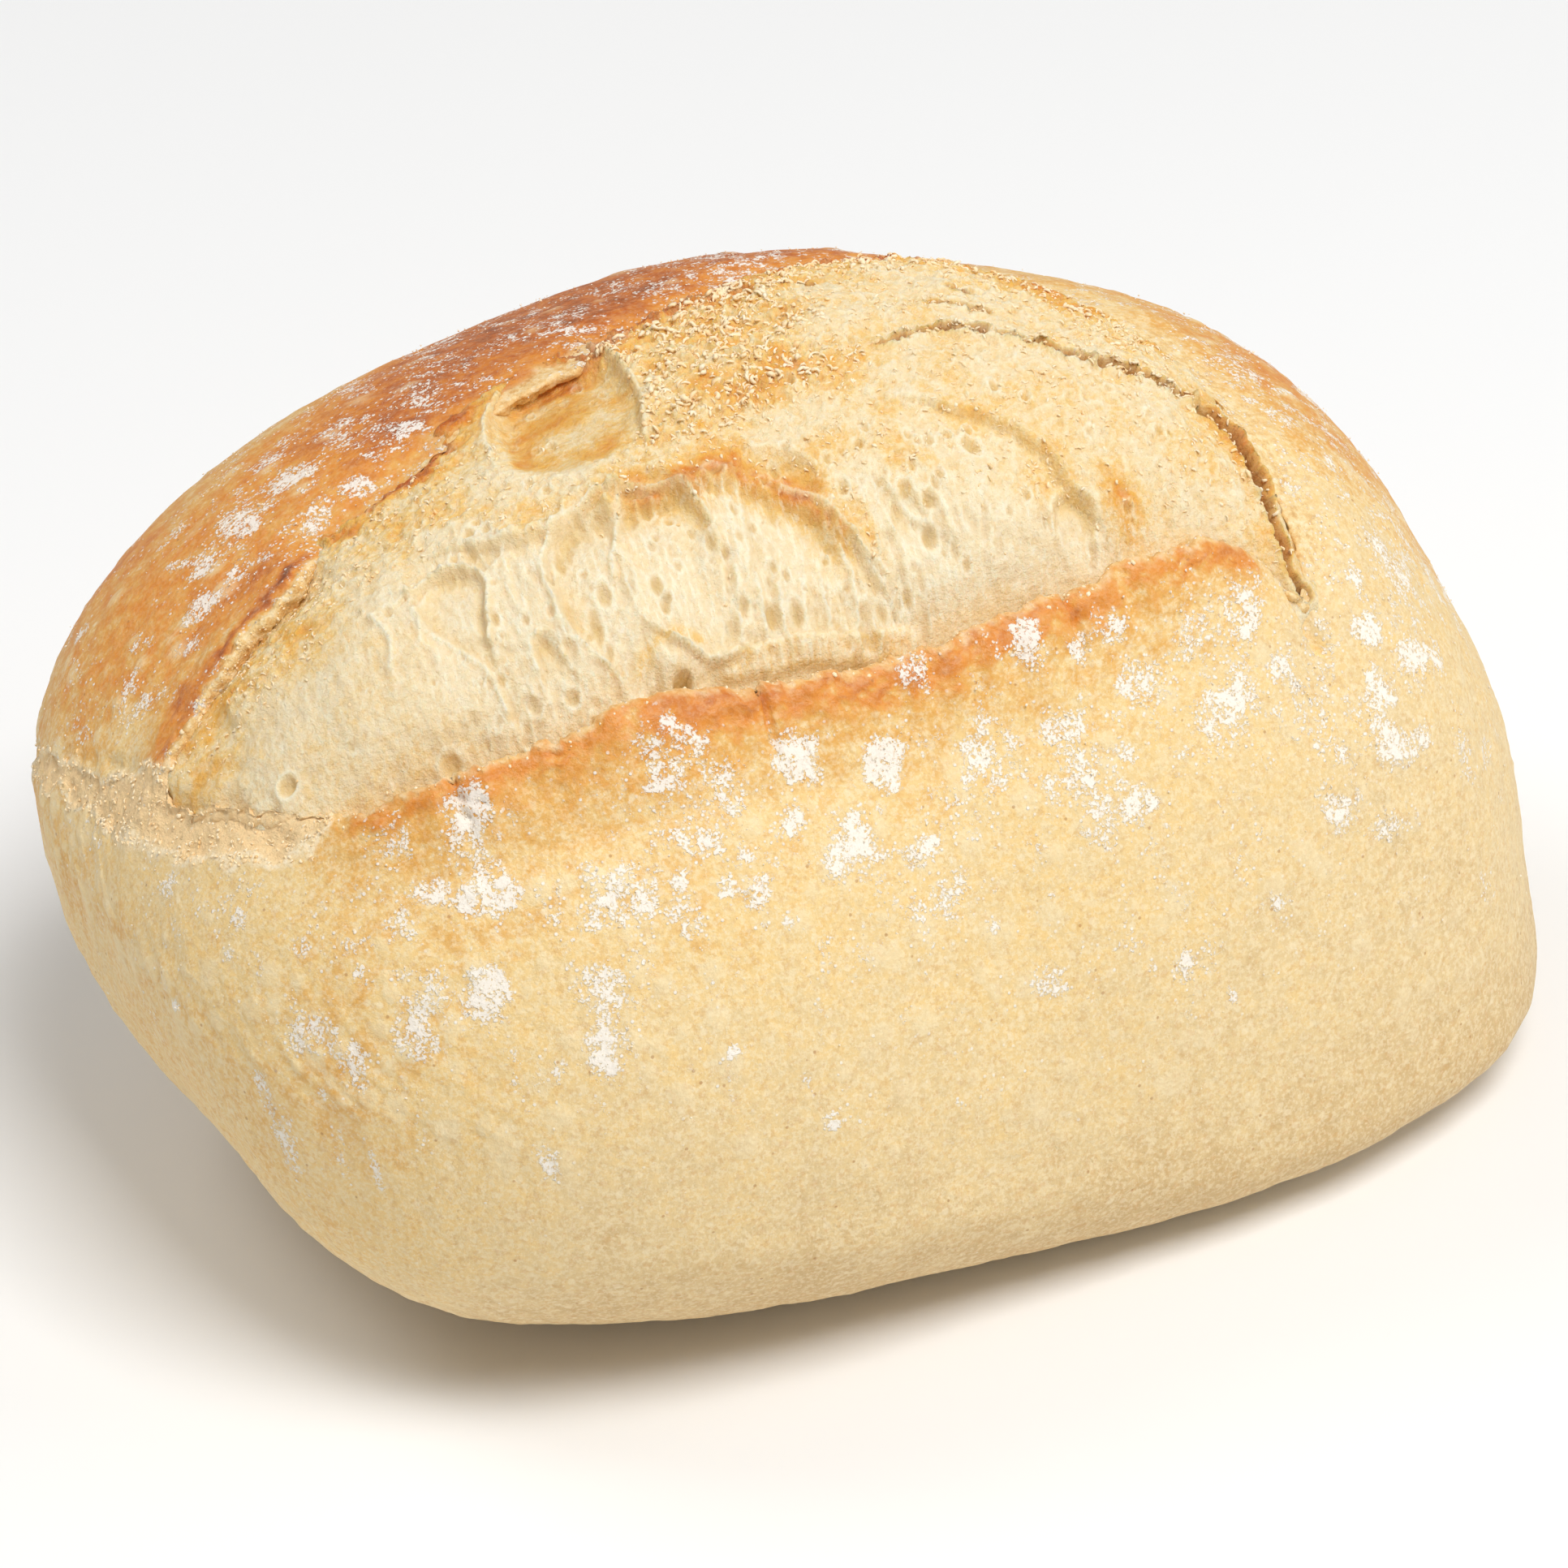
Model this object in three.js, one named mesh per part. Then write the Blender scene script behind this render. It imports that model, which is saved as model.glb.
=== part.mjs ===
// A crusty wheat roll, scored once along its top and burst open in the oven, as one baked solid.
// Millimetres, +Z up, +X along the roll. It rests on the flat of its base at z = 0.
//
// The dough is a rounded block given by a plan outline, a crown above its waist and an underside
// below it. Everything on top is placed in plan coordinates, x along the roll and y across it.
import * as THREE from "three";

// Driving dimensions of the dough
const HALF_LENGTH = 52;
const HALF_WIDTH = 38.5;
const HEIGHT = 59; // of the rounded dough, before the tray flattens its base
const BASE_PRESS = 1.4; // how deep the tray flattens it
const WAIST_HEIGHT = 22; // where the sides stand upright
const WAIST_RISE_LEFT = 0.4; // share by which the waist climbs towards the left end
const WAIST_RISE_BACK = 0.27; // and towards the back
const WAIST_TWIST = 0.1;
const PLAN_POWER = 2.75; // 2 is an ellipse, more is boxier
const CROWN_POWER = 2.25;
const CROWN_POWER_RIGHT = 0.45; // the right end is blunter than the left
const KEEL_POWER = 2.95; // roundness of the underside
const KEEL_POWER_RIGHT = 0.3;
const LEAN_BACK = 0.13; // share of the half width by which the top sits behind the base
const LEAN_LEFT = 0.026;
const PLAN_SKEW = 0.027; // uneven shaping by hand: second and third harmonics of the plan
const PLAN_EGG = 0.022;

// Dents and fullness, where a side stands off the even form: place, depth and reach
const LUMPS = [
  { at: [-48, -8, 17], rise: -1.1, reach: 9 }, // dimple in the left end
  { at: [-40, -24, 10], rise: 0.9, reach: 9 }, // full corner beside it
  { at: [6, 26, 52], rise: 0.9, reach: 9 }, // crown, behind the opening
  { at: [30, 19, 51], rise: -1.5, reach: 10 },
  { at: [48, -15, 33], rise: -1.0, reach: 9 }, // right shoulder
  { at: [45, -30, 5], rise: 0.6, reach: 8 },
  { at: [43, 0, 46], rise: 0.6, reach: 7 },
];
const CORE = new THREE.Vector3(0, 0, 25); // dents and fullness point to or from here
const BOX_MIDDLE = new THREE.Vector2(1.64, 0.48); // of the whole roll, in plan: the part's origin

// A soft fold runs along the front, low down, where the dough settled
const FOLD = { from: -30, to: 8, height: 15.5, climb: -0.1, depth: 0.7, width: 1.8 };

// The burst score: its edge in plan, anticlockwise from the left tip
const OPENING = [
  [-46, -2],
  [-44, -8],
  [-40.5, -15],
  [-36, -19.4],
  [-24, -23.6],
  [-8, -25.8],
  [10, -26],
  [25, -25],
  [31, -26.5],
  [33, -14],
  [31, -3],
  [24.5, 7.5],
  [14, 12.2],
  [-2, 9],
  [-20, 5],
  [-34, 2.6],
  [-42, 0.6],
];
const OPENING_MIDDLE = new THREE.Vector2(-6, -9);
const LIP_RISE = 1.8; // the front lip's crest above the dough
const EAR_RISE = 1.9; // the lifted flap of crust at the back left
const BACK_RISE = 0.3;
const LIP_WIDTH = 4.6; // from the edge to where the lip has faded out
const CRUMB_SINK = 2.7; // how far the crumb starts below the edge, along the front and the ear
const CRUMB_SINK_BEHIND = 0.7; // and along the back, where it hardly parted from the crust
const CRUMB_RECOVERY = 3.2; // distance over which it climbs back
const CRUMB_CROWN = 0.8; // how far its middle swells

// Burst bubbles in the crumb: middle, half sizes, turn and depth
const POCKETS = [
  { at: [-11.3, 2], size: [5.2, 4.4], turn: 0.5, depth: 1.9 },
  { at: [-26.4, -11.2], size: [2.8, 3], turn: 0.4, depth: 1.3 },
  { at: [-17, -14.4], size: [3.6, 4.8], turn: 0.2, depth: 1.9 },
  { at: [-10.3, -13.4], size: [3, 3.2], turn: 0, depth: 1.4 },
  { at: [-4.8, -17.4], size: [3.2, 3.6], turn: 0, depth: 1.2 },
  { at: [5.5, -18.6], size: [3.4, 3], turn: 0, depth: 1.0 },
  { at: [13.4, -22.6], size: [3.4, 2.2], turn: 0.3, depth: 1.4 },
];
// The torn ridge across the crumb, and the fissure behind it
const RIDGE = { path: [[-18, 0], [-10, -8.6], [0, -13.6], [13, -13.4], [16, -21]], rise: 0.9, width: 1.6 };
const FISSURE = { path: [[9, -2.2], [17, -3.8], [23, -9], [30, -13.8]], rise: -1.7, width: 1.4 };

// Fineness of the mesh
const COLUMNS = 158;
const CRUMB_RINGS = 15;
const FACE_RINGS = 9;
const KEEL_RINGS = 9;

const CRUST = new THREE.MeshStandardMaterial({ color: 0xdfae6c, roughness: 0.75, metalness: 0 });

// Where a number lies between two others, from 0 to 1, with soft ends.
function ramp(from, to, value) {
  const share = THREE.MathUtils.clamp((value - from) / (to - from), 0, 1);
  return share * share * (3 - 2 * share);
}

// The dough's half width in the direction of an angle, seen from above.
function planRadius(angle) {
  const along = Math.pow(Math.abs(Math.cos(angle)) / HALF_LENGTH, PLAN_POWER);
  const across = Math.pow(Math.abs(Math.sin(angle)) / HALF_WIDTH, PLAN_POWER);
  const shaping =
    1 - PLAN_SKEW * Math.sin(2 * angle) + PLAN_EGG * (Math.cos(3 * angle) - Math.sin(3 * angle));
  return shaping * Math.pow(along + across, -1 / PLAN_POWER);
}

function waistHeight(angle) {
  const left = -WAIST_RISE_LEFT * Math.cos(angle);
  const back = WAIST_RISE_BACK * Math.sin(angle);
  return WAIST_HEIGHT * (1 + left + back + WAIST_TWIST * Math.sin(2 * angle));
}

// Leans a point of the even form, flattens its base, and adds the dents and fullness.
function settle(x, y, z) {
  const tilt = z / HEIGHT - 0.5;
  const point = new THREE.Vector3(
    x - HALF_LENGTH * LEAN_LEFT * tilt,
    y + HALF_WIDTH * LEAN_BACK * tilt,
    z - BASE_PRESS,
  );
  const outward = point.clone().sub(CORE).normalize();
  let rise = foldRise(point);
  for (const lump of LUMPS) {
    const away = point.distanceTo(new THREE.Vector3(...lump.at)) / lump.reach;
    rise += lump.rise * Math.exp(-away * away);
  }
  point.addScaledVector(outward, rise);
  point.z = Math.max(point.z, 0);
  return point;
}

function foldRise(point) {
  if (point.y > 0) return 0;
  const middle = (FOLD.from + FOLD.to) / 2;
  const height = FOLD.height + FOLD.climb * (point.x - middle);
  const off = (point.z - height) / FOLD.width;
  const ends = ramp(FOLD.from, FOLD.from + 12, point.x) * (1 - ramp(FOLD.to - 12, FOLD.to, point.x));
  return -FOLD.depth * ends * Math.exp(-off * off);
}

// The dough's upper surface over a place in plan.
function crown(x, y) {
  const angle = Math.atan2(y, x);
  const power = CROWN_POWER + CROWN_POWER_RIGHT * Math.cos(angle);
  const share = Math.min(Math.hypot(x, y) / planRadius(angle), 1);
  const waist = waistHeight(angle);
  const z = waist + (HEIGHT - waist) * Math.pow(1 - Math.pow(share, power), 1 / power);
  return settle(x, y, z);
}

// Its underside: depth runs from 0 at the waist to 1 at the middle of the base.
function keel(angle, depth) {
  const power = KEEL_POWER + KEEL_POWER_RIGHT * Math.cos(angle);
  const radius = planRadius(angle) * Math.pow(Math.cos((depth * Math.PI) / 2), 2 / power);
  const drop = Math.pow(Math.sin((depth * Math.PI) / 2), 2 / power);
  return settle(radius * Math.cos(angle), radius * Math.sin(angle), waistHeight(angle) * (1 - drop));
}

function crownNormal(x, y) {
  const step = 0.5;
  const along = crown(x + step, y).sub(crown(x - step, y));
  const across = crown(x, y + step).sub(crown(x, y - step));
  return along.cross(across).normalize();
}

// How far a place in plan is from a path of straight stretches.
function distanceToPath(x, y, path) {
  const place = new THREE.Vector3(x, y, 0);
  const nearest = new THREE.Vector3();
  let least = Infinity;
  for (let i = 1; i < path.length; i++) {
    const stretch = new THREE.Line3(
      new THREE.Vector3(...path[i - 1], 0),
      new THREE.Vector3(...path[i], 0),
    );
    stretch.closestPointToPoint(place, true, nearest);
    least = Math.min(least, nearest.distanceTo(place));
  }
  return least;
}

function lineRise(x, y, line) {
  const off = distanceToPath(x, y, line.path) / line.width;
  return line.rise * Math.exp(-off * off);
}

// A bowl with an even floor and a steep rim.
function pocketRise(x, y, pocket) {
  const dx = x - pocket.at[0];
  const dy = y - pocket.at[1];
  const along = (dx * Math.cos(pocket.turn) + dy * Math.sin(pocket.turn)) / pocket.size[0];
  const across = (dy * Math.cos(pocket.turn) - dx * Math.sin(pocket.turn)) / pocket.size[1];
  return -pocket.depth * (1 - ramp(0.45, 1.1, Math.hypot(along, across)));
}

// The crumb's height over the dough's even form, at a distance in from the opening's edge.
function crumbRise(x, y, inward) {
  const torn = ramp(-30, -22, x) * ramp(-14, -4, y);
  const sink = THREE.MathUtils.lerp(CRUMB_SINK, CRUMB_SINK_BEHIND, torn);
  let rise = CRUMB_CROWN * ramp(0, 14, inward) - sink * Math.exp(-inward / CRUMB_RECOVERY);
  for (const pocket of POCKETS) rise += pocketRise(x, y, pocket) * ramp(0, 3, inward);
  return rise + lineRise(x, y, RIDGE) + lineRise(x, y, FISSURE);
}

// How high the crust's lip stands at a place on the opening's edge.
function lipRise(x, y) {
  const front = LIP_RISE * ramp(-14, -21, y) * ramp(33, 24, x);
  const ear = EAR_RISE * ramp(-24, -32, x) * ramp(-8, -3, y);
  const back = BACK_RISE * ramp(-6, 4, y);
  return Math.max(front, ear, back);
}

// Places spread evenly along the opening's edge, each with its direction in towards the crumb.
function edgePlaces() {
  const corners = OPENING.map(([x, y]) => new THREE.Vector3(x, y, 0));
  const loop = new THREE.CatmullRomCurve3(corners, true, "centripetal");
  loop.arcLengthDivisions = 2000;
  return Array.from({ length: COLUMNS }, (_, k) => {
    const place = loop.getPointAt(k / COLUMNS);
    const tangent = loop.getTangentAt(k / COLUMNS);
    return { x: place.x, y: place.y, inX: -tangent.y, inY: tangent.x };
  });
}

// The angle at which the line from the opening's middle through a place meets the plan outline.
function waistAngle(place) {
  let inside = 1;
  let outside = 8;
  let angle = 0;
  for (let i = 0; i < 30; i++) {
    const share = (inside + outside) / 2;
    const x = THREE.MathUtils.lerp(OPENING_MIDDLE.x, place.x, share);
    const y = THREE.MathUtils.lerp(OPENING_MIDDLE.y, place.y, share);
    angle = Math.atan2(y, x);
    if (Math.hypot(x, y) < planRadius(angle)) inside = share;
    else outside = share;
  }
  return angle;
}

const edge = edgePlaces();
const waist = edge.map(waistAngle);

// The lip in section: distance outward from the edge, and share of the lip's rise.
const LIP_SECTION = [
  [0.1, 0.35],
  [0.9, 1],
  [2.3, 0.8],
  [LIP_WIDTH, 0],
];

// The rings of the solid, from the middle of the crumb out over the lip and down to the base.
function makeRings() {
  const rings = [];
  for (let i = 1; i <= CRUMB_RINGS; i++) {
    const share = i / CRUMB_RINGS;
    rings.push(
      edge.map((place) => {
        const x = THREE.MathUtils.lerp(OPENING_MIDDLE.x, place.x, share);
        const y = THREE.MathUtils.lerp(OPENING_MIDDLE.y, place.y, share);
        const inward = (1 - share) * Math.hypot(place.x - OPENING_MIDDLE.x, place.y - OPENING_MIDDLE.y);
        const point = crown(x, y);
        point.z += crumbRise(x, y, inward);
        return point;
      }),
    );
  }
  for (const [outward, share] of LIP_SECTION) {
    rings.push(
      edge.map((place) => {
        const x = place.x - outward * place.inX;
        const y = place.y - outward * place.inY;
        const rise = share * lipRise(place.x, place.y);
        return crown(x, y).addScaledVector(crownNormal(x, y), rise);
      }),
    );
  }
  for (let i = 1; i <= FACE_RINGS; i++) {
    const share = 1 - Math.pow(1 - i / FACE_RINGS, 2.2); // closer together down the steep side
    rings.push(
      edge.map((place, k) => {
        const radius = planRadius(waist[k]);
        const footX = place.x - LIP_WIDTH * place.inX;
        const footY = place.y - LIP_WIDTH * place.inY;
        const x = THREE.MathUtils.lerp(footX, radius * Math.cos(waist[k]), share);
        const y = THREE.MathUtils.lerp(footY, radius * Math.sin(waist[k]), share);
        return crown(x, y);
      }),
    );
  }
  for (let i = 1; i <= KEEL_RINGS; i++) {
    rings.push(waist.map((angle) => keel(angle, i / (KEEL_RINGS + 1))));
  }
  return rings;
}

// Skins a stack of rings, with a point at the middle of each end.
function skin(rings, firstPoint, lastPoint) {
  const points = [firstPoint, ...rings.flat(), lastPoint];
  const faces = [];
  const at = (ring, column) => 1 + ring * COLUMNS + (column % COLUMNS);
  const last = points.length - 1;
  for (let k = 0; k < COLUMNS; k++) {
    faces.push(0, at(0, k), at(0, k + 1));
    faces.push(last, at(rings.length - 1, k + 1), at(rings.length - 1, k));
    for (let ring = 1; ring < rings.length; ring++) {
      faces.push(at(ring - 1, k), at(ring, k), at(ring, k + 1));
      faces.push(at(ring - 1, k), at(ring, k + 1), at(ring - 1, k + 1));
    }
  }
  const geometry = new THREE.BufferGeometry().setFromPoints(points);
  geometry.setIndex(faces);
  geometry.computeVertexNormals();
  return geometry;
}

const crumbMiddle = crown(OPENING_MIDDLE.x, OPENING_MIDDLE.y);
crumbMiddle.z += crumbRise(OPENING_MIDDLE.x, OPENING_MIDDLE.y, 20);
const roll = new THREE.Mesh(skin(makeRings(), crumbMiddle, keel(0, 1)), CRUST);
roll.name = "bread_roll";
roll.position.set(-BOX_MIDDLE.x, -BOX_MIDDLE.y, 0);

const group = new THREE.Group();
group.add(roll);
export default group;
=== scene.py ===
# %% [markdown]
# # A crusty bread roll
#
# A real roll like this starts as a smooth oblong of dough, dusted with flour and scored once with
# a blade. In the oven it swells until the score bursts, so the crust parts into two lips and the
# soft crumb pushes up between them. The model is built the same way. One formula gives the smooth
# dough, a closed line on top of it gives the edge of the burst score, and two meshes share both:
# the crust, from that edge out and down to the base, and the crumb, which fills the opening.
# The roll's sizes below are in millimetres, and its meshes are turned into metres when they are
# made. The floor, the light and the camera are in metres.

# %% The frame and the tools
import math

import bmesh
import bpy
import numpy as np
from mathutils import Matrix, Vector, noise


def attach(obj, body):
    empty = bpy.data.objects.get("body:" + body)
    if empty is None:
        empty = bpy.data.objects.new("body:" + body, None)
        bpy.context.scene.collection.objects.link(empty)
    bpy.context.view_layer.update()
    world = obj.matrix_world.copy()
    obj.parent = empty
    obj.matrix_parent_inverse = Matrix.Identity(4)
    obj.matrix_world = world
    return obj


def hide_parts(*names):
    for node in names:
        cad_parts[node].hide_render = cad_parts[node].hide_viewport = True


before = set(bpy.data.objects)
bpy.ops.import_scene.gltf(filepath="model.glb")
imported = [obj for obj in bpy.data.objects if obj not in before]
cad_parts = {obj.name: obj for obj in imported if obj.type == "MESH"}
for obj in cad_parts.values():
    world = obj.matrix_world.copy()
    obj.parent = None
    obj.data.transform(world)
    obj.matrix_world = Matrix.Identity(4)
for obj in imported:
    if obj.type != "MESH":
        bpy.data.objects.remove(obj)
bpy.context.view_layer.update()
MM = 0.001
rng = np.random.default_rng(7)

# %% [markdown]
# ## The dough
#
# Seen from above, the dough is a superellipse: a box with very round corners. Its sides rise to a
# waist and then close over in a crown, and below the waist they tuck in under a keel that the
# tray has pressed flat. A few soft lumps take away the evenness that no baker's hands ever reach.

# %% Driving dimensions of the dough
HALF_LENGTH = 52.0
HALF_WIDTH = 38.5
HEIGHT = 59.0
BASE_PRESS = 1.4
WAIST_HEIGHT = 22.0
PLAN_POWER = 2.75
CROWN_POWER, CROWN_POWER_RIGHT = 2.25, 0.45
KEEL_POWER, KEEL_POWER_RIGHT = 2.95, 0.3
LEAN_BACK, LEAN_LEFT = 0.13, 0.026
SKEW, THREE_SIDED = 0.027, 0.022
WAIST_TO_RIGHT, WAIST_TO_BACK, WAIST_TWIST = -0.4, 0.27, 0.1
CORE = np.array([0.0, 0.0, 25.0])
BOX_MIDDLE = np.array([1.64, 0.48, 0.0])
LUMPS = [  # place, rise and reach
    ((-48, -8, 17), -1.1, 9), ((-40, -24, 10), 0.9, 9), ((6, 26, 52), 0.9, 9), ((30, 19, 51), -1.5, 10),
    ((48, -15, 33), -1.0, 9), ((45, -30, 5), 0.6, 8), ((43, 0, 46), 0.6, 7),
]


def ramp(start, end, value):
    """0 before start, 1 after end, and a soft step between them."""
    share = np.clip((value - start) / (end - start), 0, 1)
    return share * share * (3 - 2 * share)


def bell(value, width):
    """1 where value is 0, fading over width."""
    return np.exp(-((value / width) ** 2))


def plan_radius(angle):
    """How far the dough's outline lies from its middle, seen from above."""
    along = (np.abs(np.cos(angle)) / HALF_LENGTH) ** PLAN_POWER
    across = (np.abs(np.sin(angle)) / HALF_WIDTH) ** PLAN_POWER
    shaping = 1 - SKEW * np.sin(2 * angle) + THREE_SIDED * (np.cos(3 * angle) - np.sin(3 * angle))
    return shaping * (along + across) ** (-1 / PLAN_POWER)


def waist_height(angle):
    """The height of the dough's widest line, which is lower at the right end."""
    share = 1 + WAIST_TO_RIGHT * np.cos(angle) + WAIST_TO_BACK * np.sin(angle)
    return WAIST_HEIGHT * (share + WAIST_TWIST * np.sin(2 * angle))


def settle(x, y, z):
    """Leans the even form, presses its base, and adds the lumps."""
    tilt = z / HEIGHT - 0.5
    leaned_x = x - HALF_LENGTH * LEAN_LEFT * tilt
    leaned_y = y + HALF_WIDTH * LEAN_BACK * tilt
    points = np.stack([leaned_x, leaned_y, z - BASE_PRESS], -1)
    outward = points - CORE
    outward /= np.linalg.norm(outward, axis=-1, keepdims=True)
    lift = sum(rise * bell(np.linalg.norm(points - place, axis=-1), reach) for place, rise, reach in LUMPS)
    points = points + outward * lift[..., None]
    points[..., 2] = np.maximum(points[..., 2], 0)
    return points


def crown(x, y):
    """The dough's upper surface over places in plan."""
    angle = np.arctan2(y, x)
    power = CROWN_POWER + CROWN_POWER_RIGHT * np.cos(angle)
    share = np.minimum(np.hypot(x, y) / plan_radius(angle), 1)
    waist = waist_height(angle)
    return settle(x, y, waist + (HEIGHT - waist) * (1 - share**power) ** (1 / power))


def crown_normal(x, y, step=0.5):
    """The direction square to the crown, from places a small step to each side."""
    along = crown(x + step, y) - crown(x - step, y)
    across = crown(x, y + step) - crown(x, y - step)
    normal = np.cross(along, across)
    return normal / np.linalg.norm(normal, axis=-1, keepdims=True)


def keel(angle, depth):
    """The underside, from the waist at depth 0 to the middle of the base at depth 1."""
    power = KEEL_POWER + KEEL_POWER_RIGHT * np.cos(angle)
    turn = depth * np.pi / 2
    radius = plan_radius(angle) * np.cos(turn).clip(0) ** (2 / power)
    drop = np.sin(turn) ** (2 / power)
    return settle(radius * np.cos(angle), radius * np.sin(angle), waist_height(angle) * (1 - drop))


print("dough", 2 * HALF_LENGTH, "x", 2 * HALF_WIDTH, "x", HEIGHT - BASE_PRESS, "mm")

# %% [markdown]
# ## The edge of the opening
#
# The burst score is one closed line in plan. A handful of corners is enough, because a smooth
# curve runs through them. The line is kept as many short steps of even length, so that any share
# of the way round can be looked up.

# %% The opening's edge
OPENING = np.array([  # corners in plan, front left to front right, and back along the rear
    (-46, -2), (-44, -8), (-40.5, -15), (-36, -19.4), (-24, -23.6), (-8, -25.8), (10, -26), (25, -25),
    (31, -26.5), (33, -14), (31, -3), (24.5, 7.5), (14, 12.2), (-2, 9), (-20, 5), (-34, 2.6), (-42, 0.6),
])
OPENING_MIDDLE = np.array([-6.0, -9.0])


def curve_through(corners, closed, steps=60):
    """A Catmull-Rom curve through the corners."""
    corners = np.asarray(corners, float)
    count = len(corners)
    spans = count if closed else count - 1
    pick = (lambda i: corners[i % count]) if closed else (lambda i: corners[min(max(i, 0), count - 1)])
    t = np.linspace(0, 1, steps, endpoint=False)[:, None]
    pieces = []
    for i in range(spans):
        a, b, c, d = pick(i - 1), pick(i), pick(i + 1), pick(i + 2)
        square = 2 * a - 5 * b + 4 * c - d
        cube = 3 * b - a - 3 * c + d
        pieces.append(0.5 * (2 * b + (c - a) * t + square * t**2 + cube * t**3))
    return np.vstack([*pieces, corners[:1] if closed else corners[-1:]])


def along(line, shares):
    """Places on a line at shares of its length."""
    steps = np.linalg.norm(np.diff(line, axis=0), axis=1)
    length = np.concatenate([[0], np.cumsum(steps)])
    return np.stack([np.interp(shares * length[-1], length, line[:, i]) for i in range(line.shape[1])], -1)


def inward_of(line):
    """The direction to the left of a line's run, at each of its points."""
    run = np.gradient(line, axis=0)
    if np.allclose(line[0], line[-1]):
        run[0] = run[-1] = (line[1] - line[-2]) / 2
    side = np.stack([-run[:, 1], run[:, 0]], -1)
    return side / np.linalg.norm(side, axis=1, keepdims=True)


EDGE_LINE = curve_through(OPENING, closed=True)
print("opening edge", round(float(np.linalg.norm(np.diff(EDGE_LINE, axis=0), axis=1).sum()), 1), "mm round")

# %% [markdown]
# ## Noise and sheets
#
# Two helpers do most of the work. The first looks up fractal noise at every point of a mesh: its
# size is in millimetres, and its shift only picks another patch of the same noise. The second
# makes a flat grid, moves each of its points to where a formula wants it, and merges what then
# lies on itself, which closes the seam round the roll and the poles at top and bottom.

# %% Helpers for noise and sheets
def fractal(points, size, octaves=3, shift=0.0, stretch=(1, 1, 1)):
    """Fractal noise of a size in millimetres, about -1 to 1, at each point."""
    scaled = (np.asarray(points).reshape(-1, 3) / (np.array(stretch) * size) + shift).tolist()
    values = [noise.fractal(place, 1.0, 2.0, octaves) for place in scaled]
    return np.array(values).reshape(np.asarray(points).shape[:-1])


def flat_fractal(x, y, size, octaves=3, shift=0.0):
    """The same noise over places in plan."""
    return fractal(np.stack([x, y, np.zeros_like(x)], -1), size, octaves, shift)


def cell_walls(x, y, size, shift=0.0):
    """How close each place is to a wall between random cells: 1 on a wall, 0 inside a cell."""
    places = np.stack([x / size, y / size, np.full_like(x, shift)], -1).reshape(-1, 3).tolist()
    gaps = np.array([noise.voronoi(place)[0][:2] for place in places])
    return ramp(0.40, 0.0, gaps[:, 1] - gaps[:, 0]).reshape(x.shape)


def grid_normals(points, closed):
    """Directions square to a grid of points, from its rows and columns."""
    if closed:
        along_row = np.roll(points[:, :-1], -1, axis=1) - np.roll(points[:, :-1], 1, axis=1)
        along_row = np.concatenate([along_row, along_row[:, :1]], axis=1)
    else:
        along_row = np.gradient(points, axis=1)
    normal = np.cross(along_row, np.gradient(points, axis=0))
    return normal / (np.linalg.norm(normal, axis=-1, keepdims=True) + 1e-12)


LINE_STEP = 0.3


def line_distance(x, y, corners, closed=False):
    """How far each place lies from a curve, and on which side: 1 is left of its run."""
    line = curve_through(corners, closed)
    count = max(int(np.linalg.norm(np.diff(line, axis=0), axis=1).sum() / LINE_STEP), 2)
    line = along(line, np.linspace(0, 1, count))
    run = np.gradient(line, axis=0)
    nearest = np.full(x.shape, np.inf)
    side = np.zeros(x.shape)
    for (at_x, at_y), (run_x, run_y) in zip(line, run):
        away = np.hypot(x - at_x, y - at_y)
        closer = away < nearest
        nearest = np.where(closer, away, nearest)
        side = np.where(closer, np.sign(run_x * (y - at_y) - run_y * (x - at_x)), side)
    return nearest, side


SAME_PLACE = 2e-7  # metres


def make_sheet(name, points, values):
    """A closed mesh from a grid of points in dough millimetres, with its named point values."""
    rows, columns = points.shape[0] - 1, points.shape[1] - 1
    bm = bmesh.new()
    bmesh.ops.create_grid(bm, x_segments=columns, y_segments=rows, size=1.0)
    mesh = bpy.data.meshes.new(name)
    bm.to_mesh(mesh)
    bm.free()
    flat = np.empty(len(mesh.vertices) * 3)
    mesh.vertices.foreach_get("co", flat)
    flat = flat.reshape(-1, 3)
    order = np.lexsort((flat[:, 0].round(6), flat[:, 1].round(6)))
    flat[order] = (points.reshape(-1, 3) - BOX_MIDDLE) * MM
    mesh.vertices.foreach_set("co", flat.ravel())
    for key, value in values.items():
        layer = mesh.attributes.new(key, "FLOAT", "POINT")
        column = np.empty(len(flat))
        column[order] = value.ravel()
        layer.data.foreach_set("value", column)
    bm = bmesh.new()
    bm.from_mesh(mesh)
    bmesh.ops.remove_doubles(bm, verts=bm.verts, dist=SAME_PLACE)
    bmesh.ops.recalc_face_normals(bm, faces=bm.faces)
    open_edges = [e for e in bm.edges if e.is_boundary]
    for face in bm.faces:
        face.smooth = True
    bm.to_mesh(mesh)
    bm.free()
    piece = bpy.data.objects.new(name, mesh)
    bpy.context.scene.collection.objects.link(piece)
    triangles = sum(len(p.vertices) - 2 for p in mesh.polygons)
    print(name, len(mesh.vertices), "points", triangles, "triangles", len(open_edges), "open edges")
    return piece


# %% [markdown]
# ## The crust
#
# The crust is one sheet that wraps the whole roll. Its columns start down inside the opening,
# climb the torn wall, roll over the lip, and run down the side to the middle of the base. The
# columns are spread by the length of the edge and of the foot of the lip together, because the
# sharp corner at the right would otherwise fan a few columns over a wide piece of crust.

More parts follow.
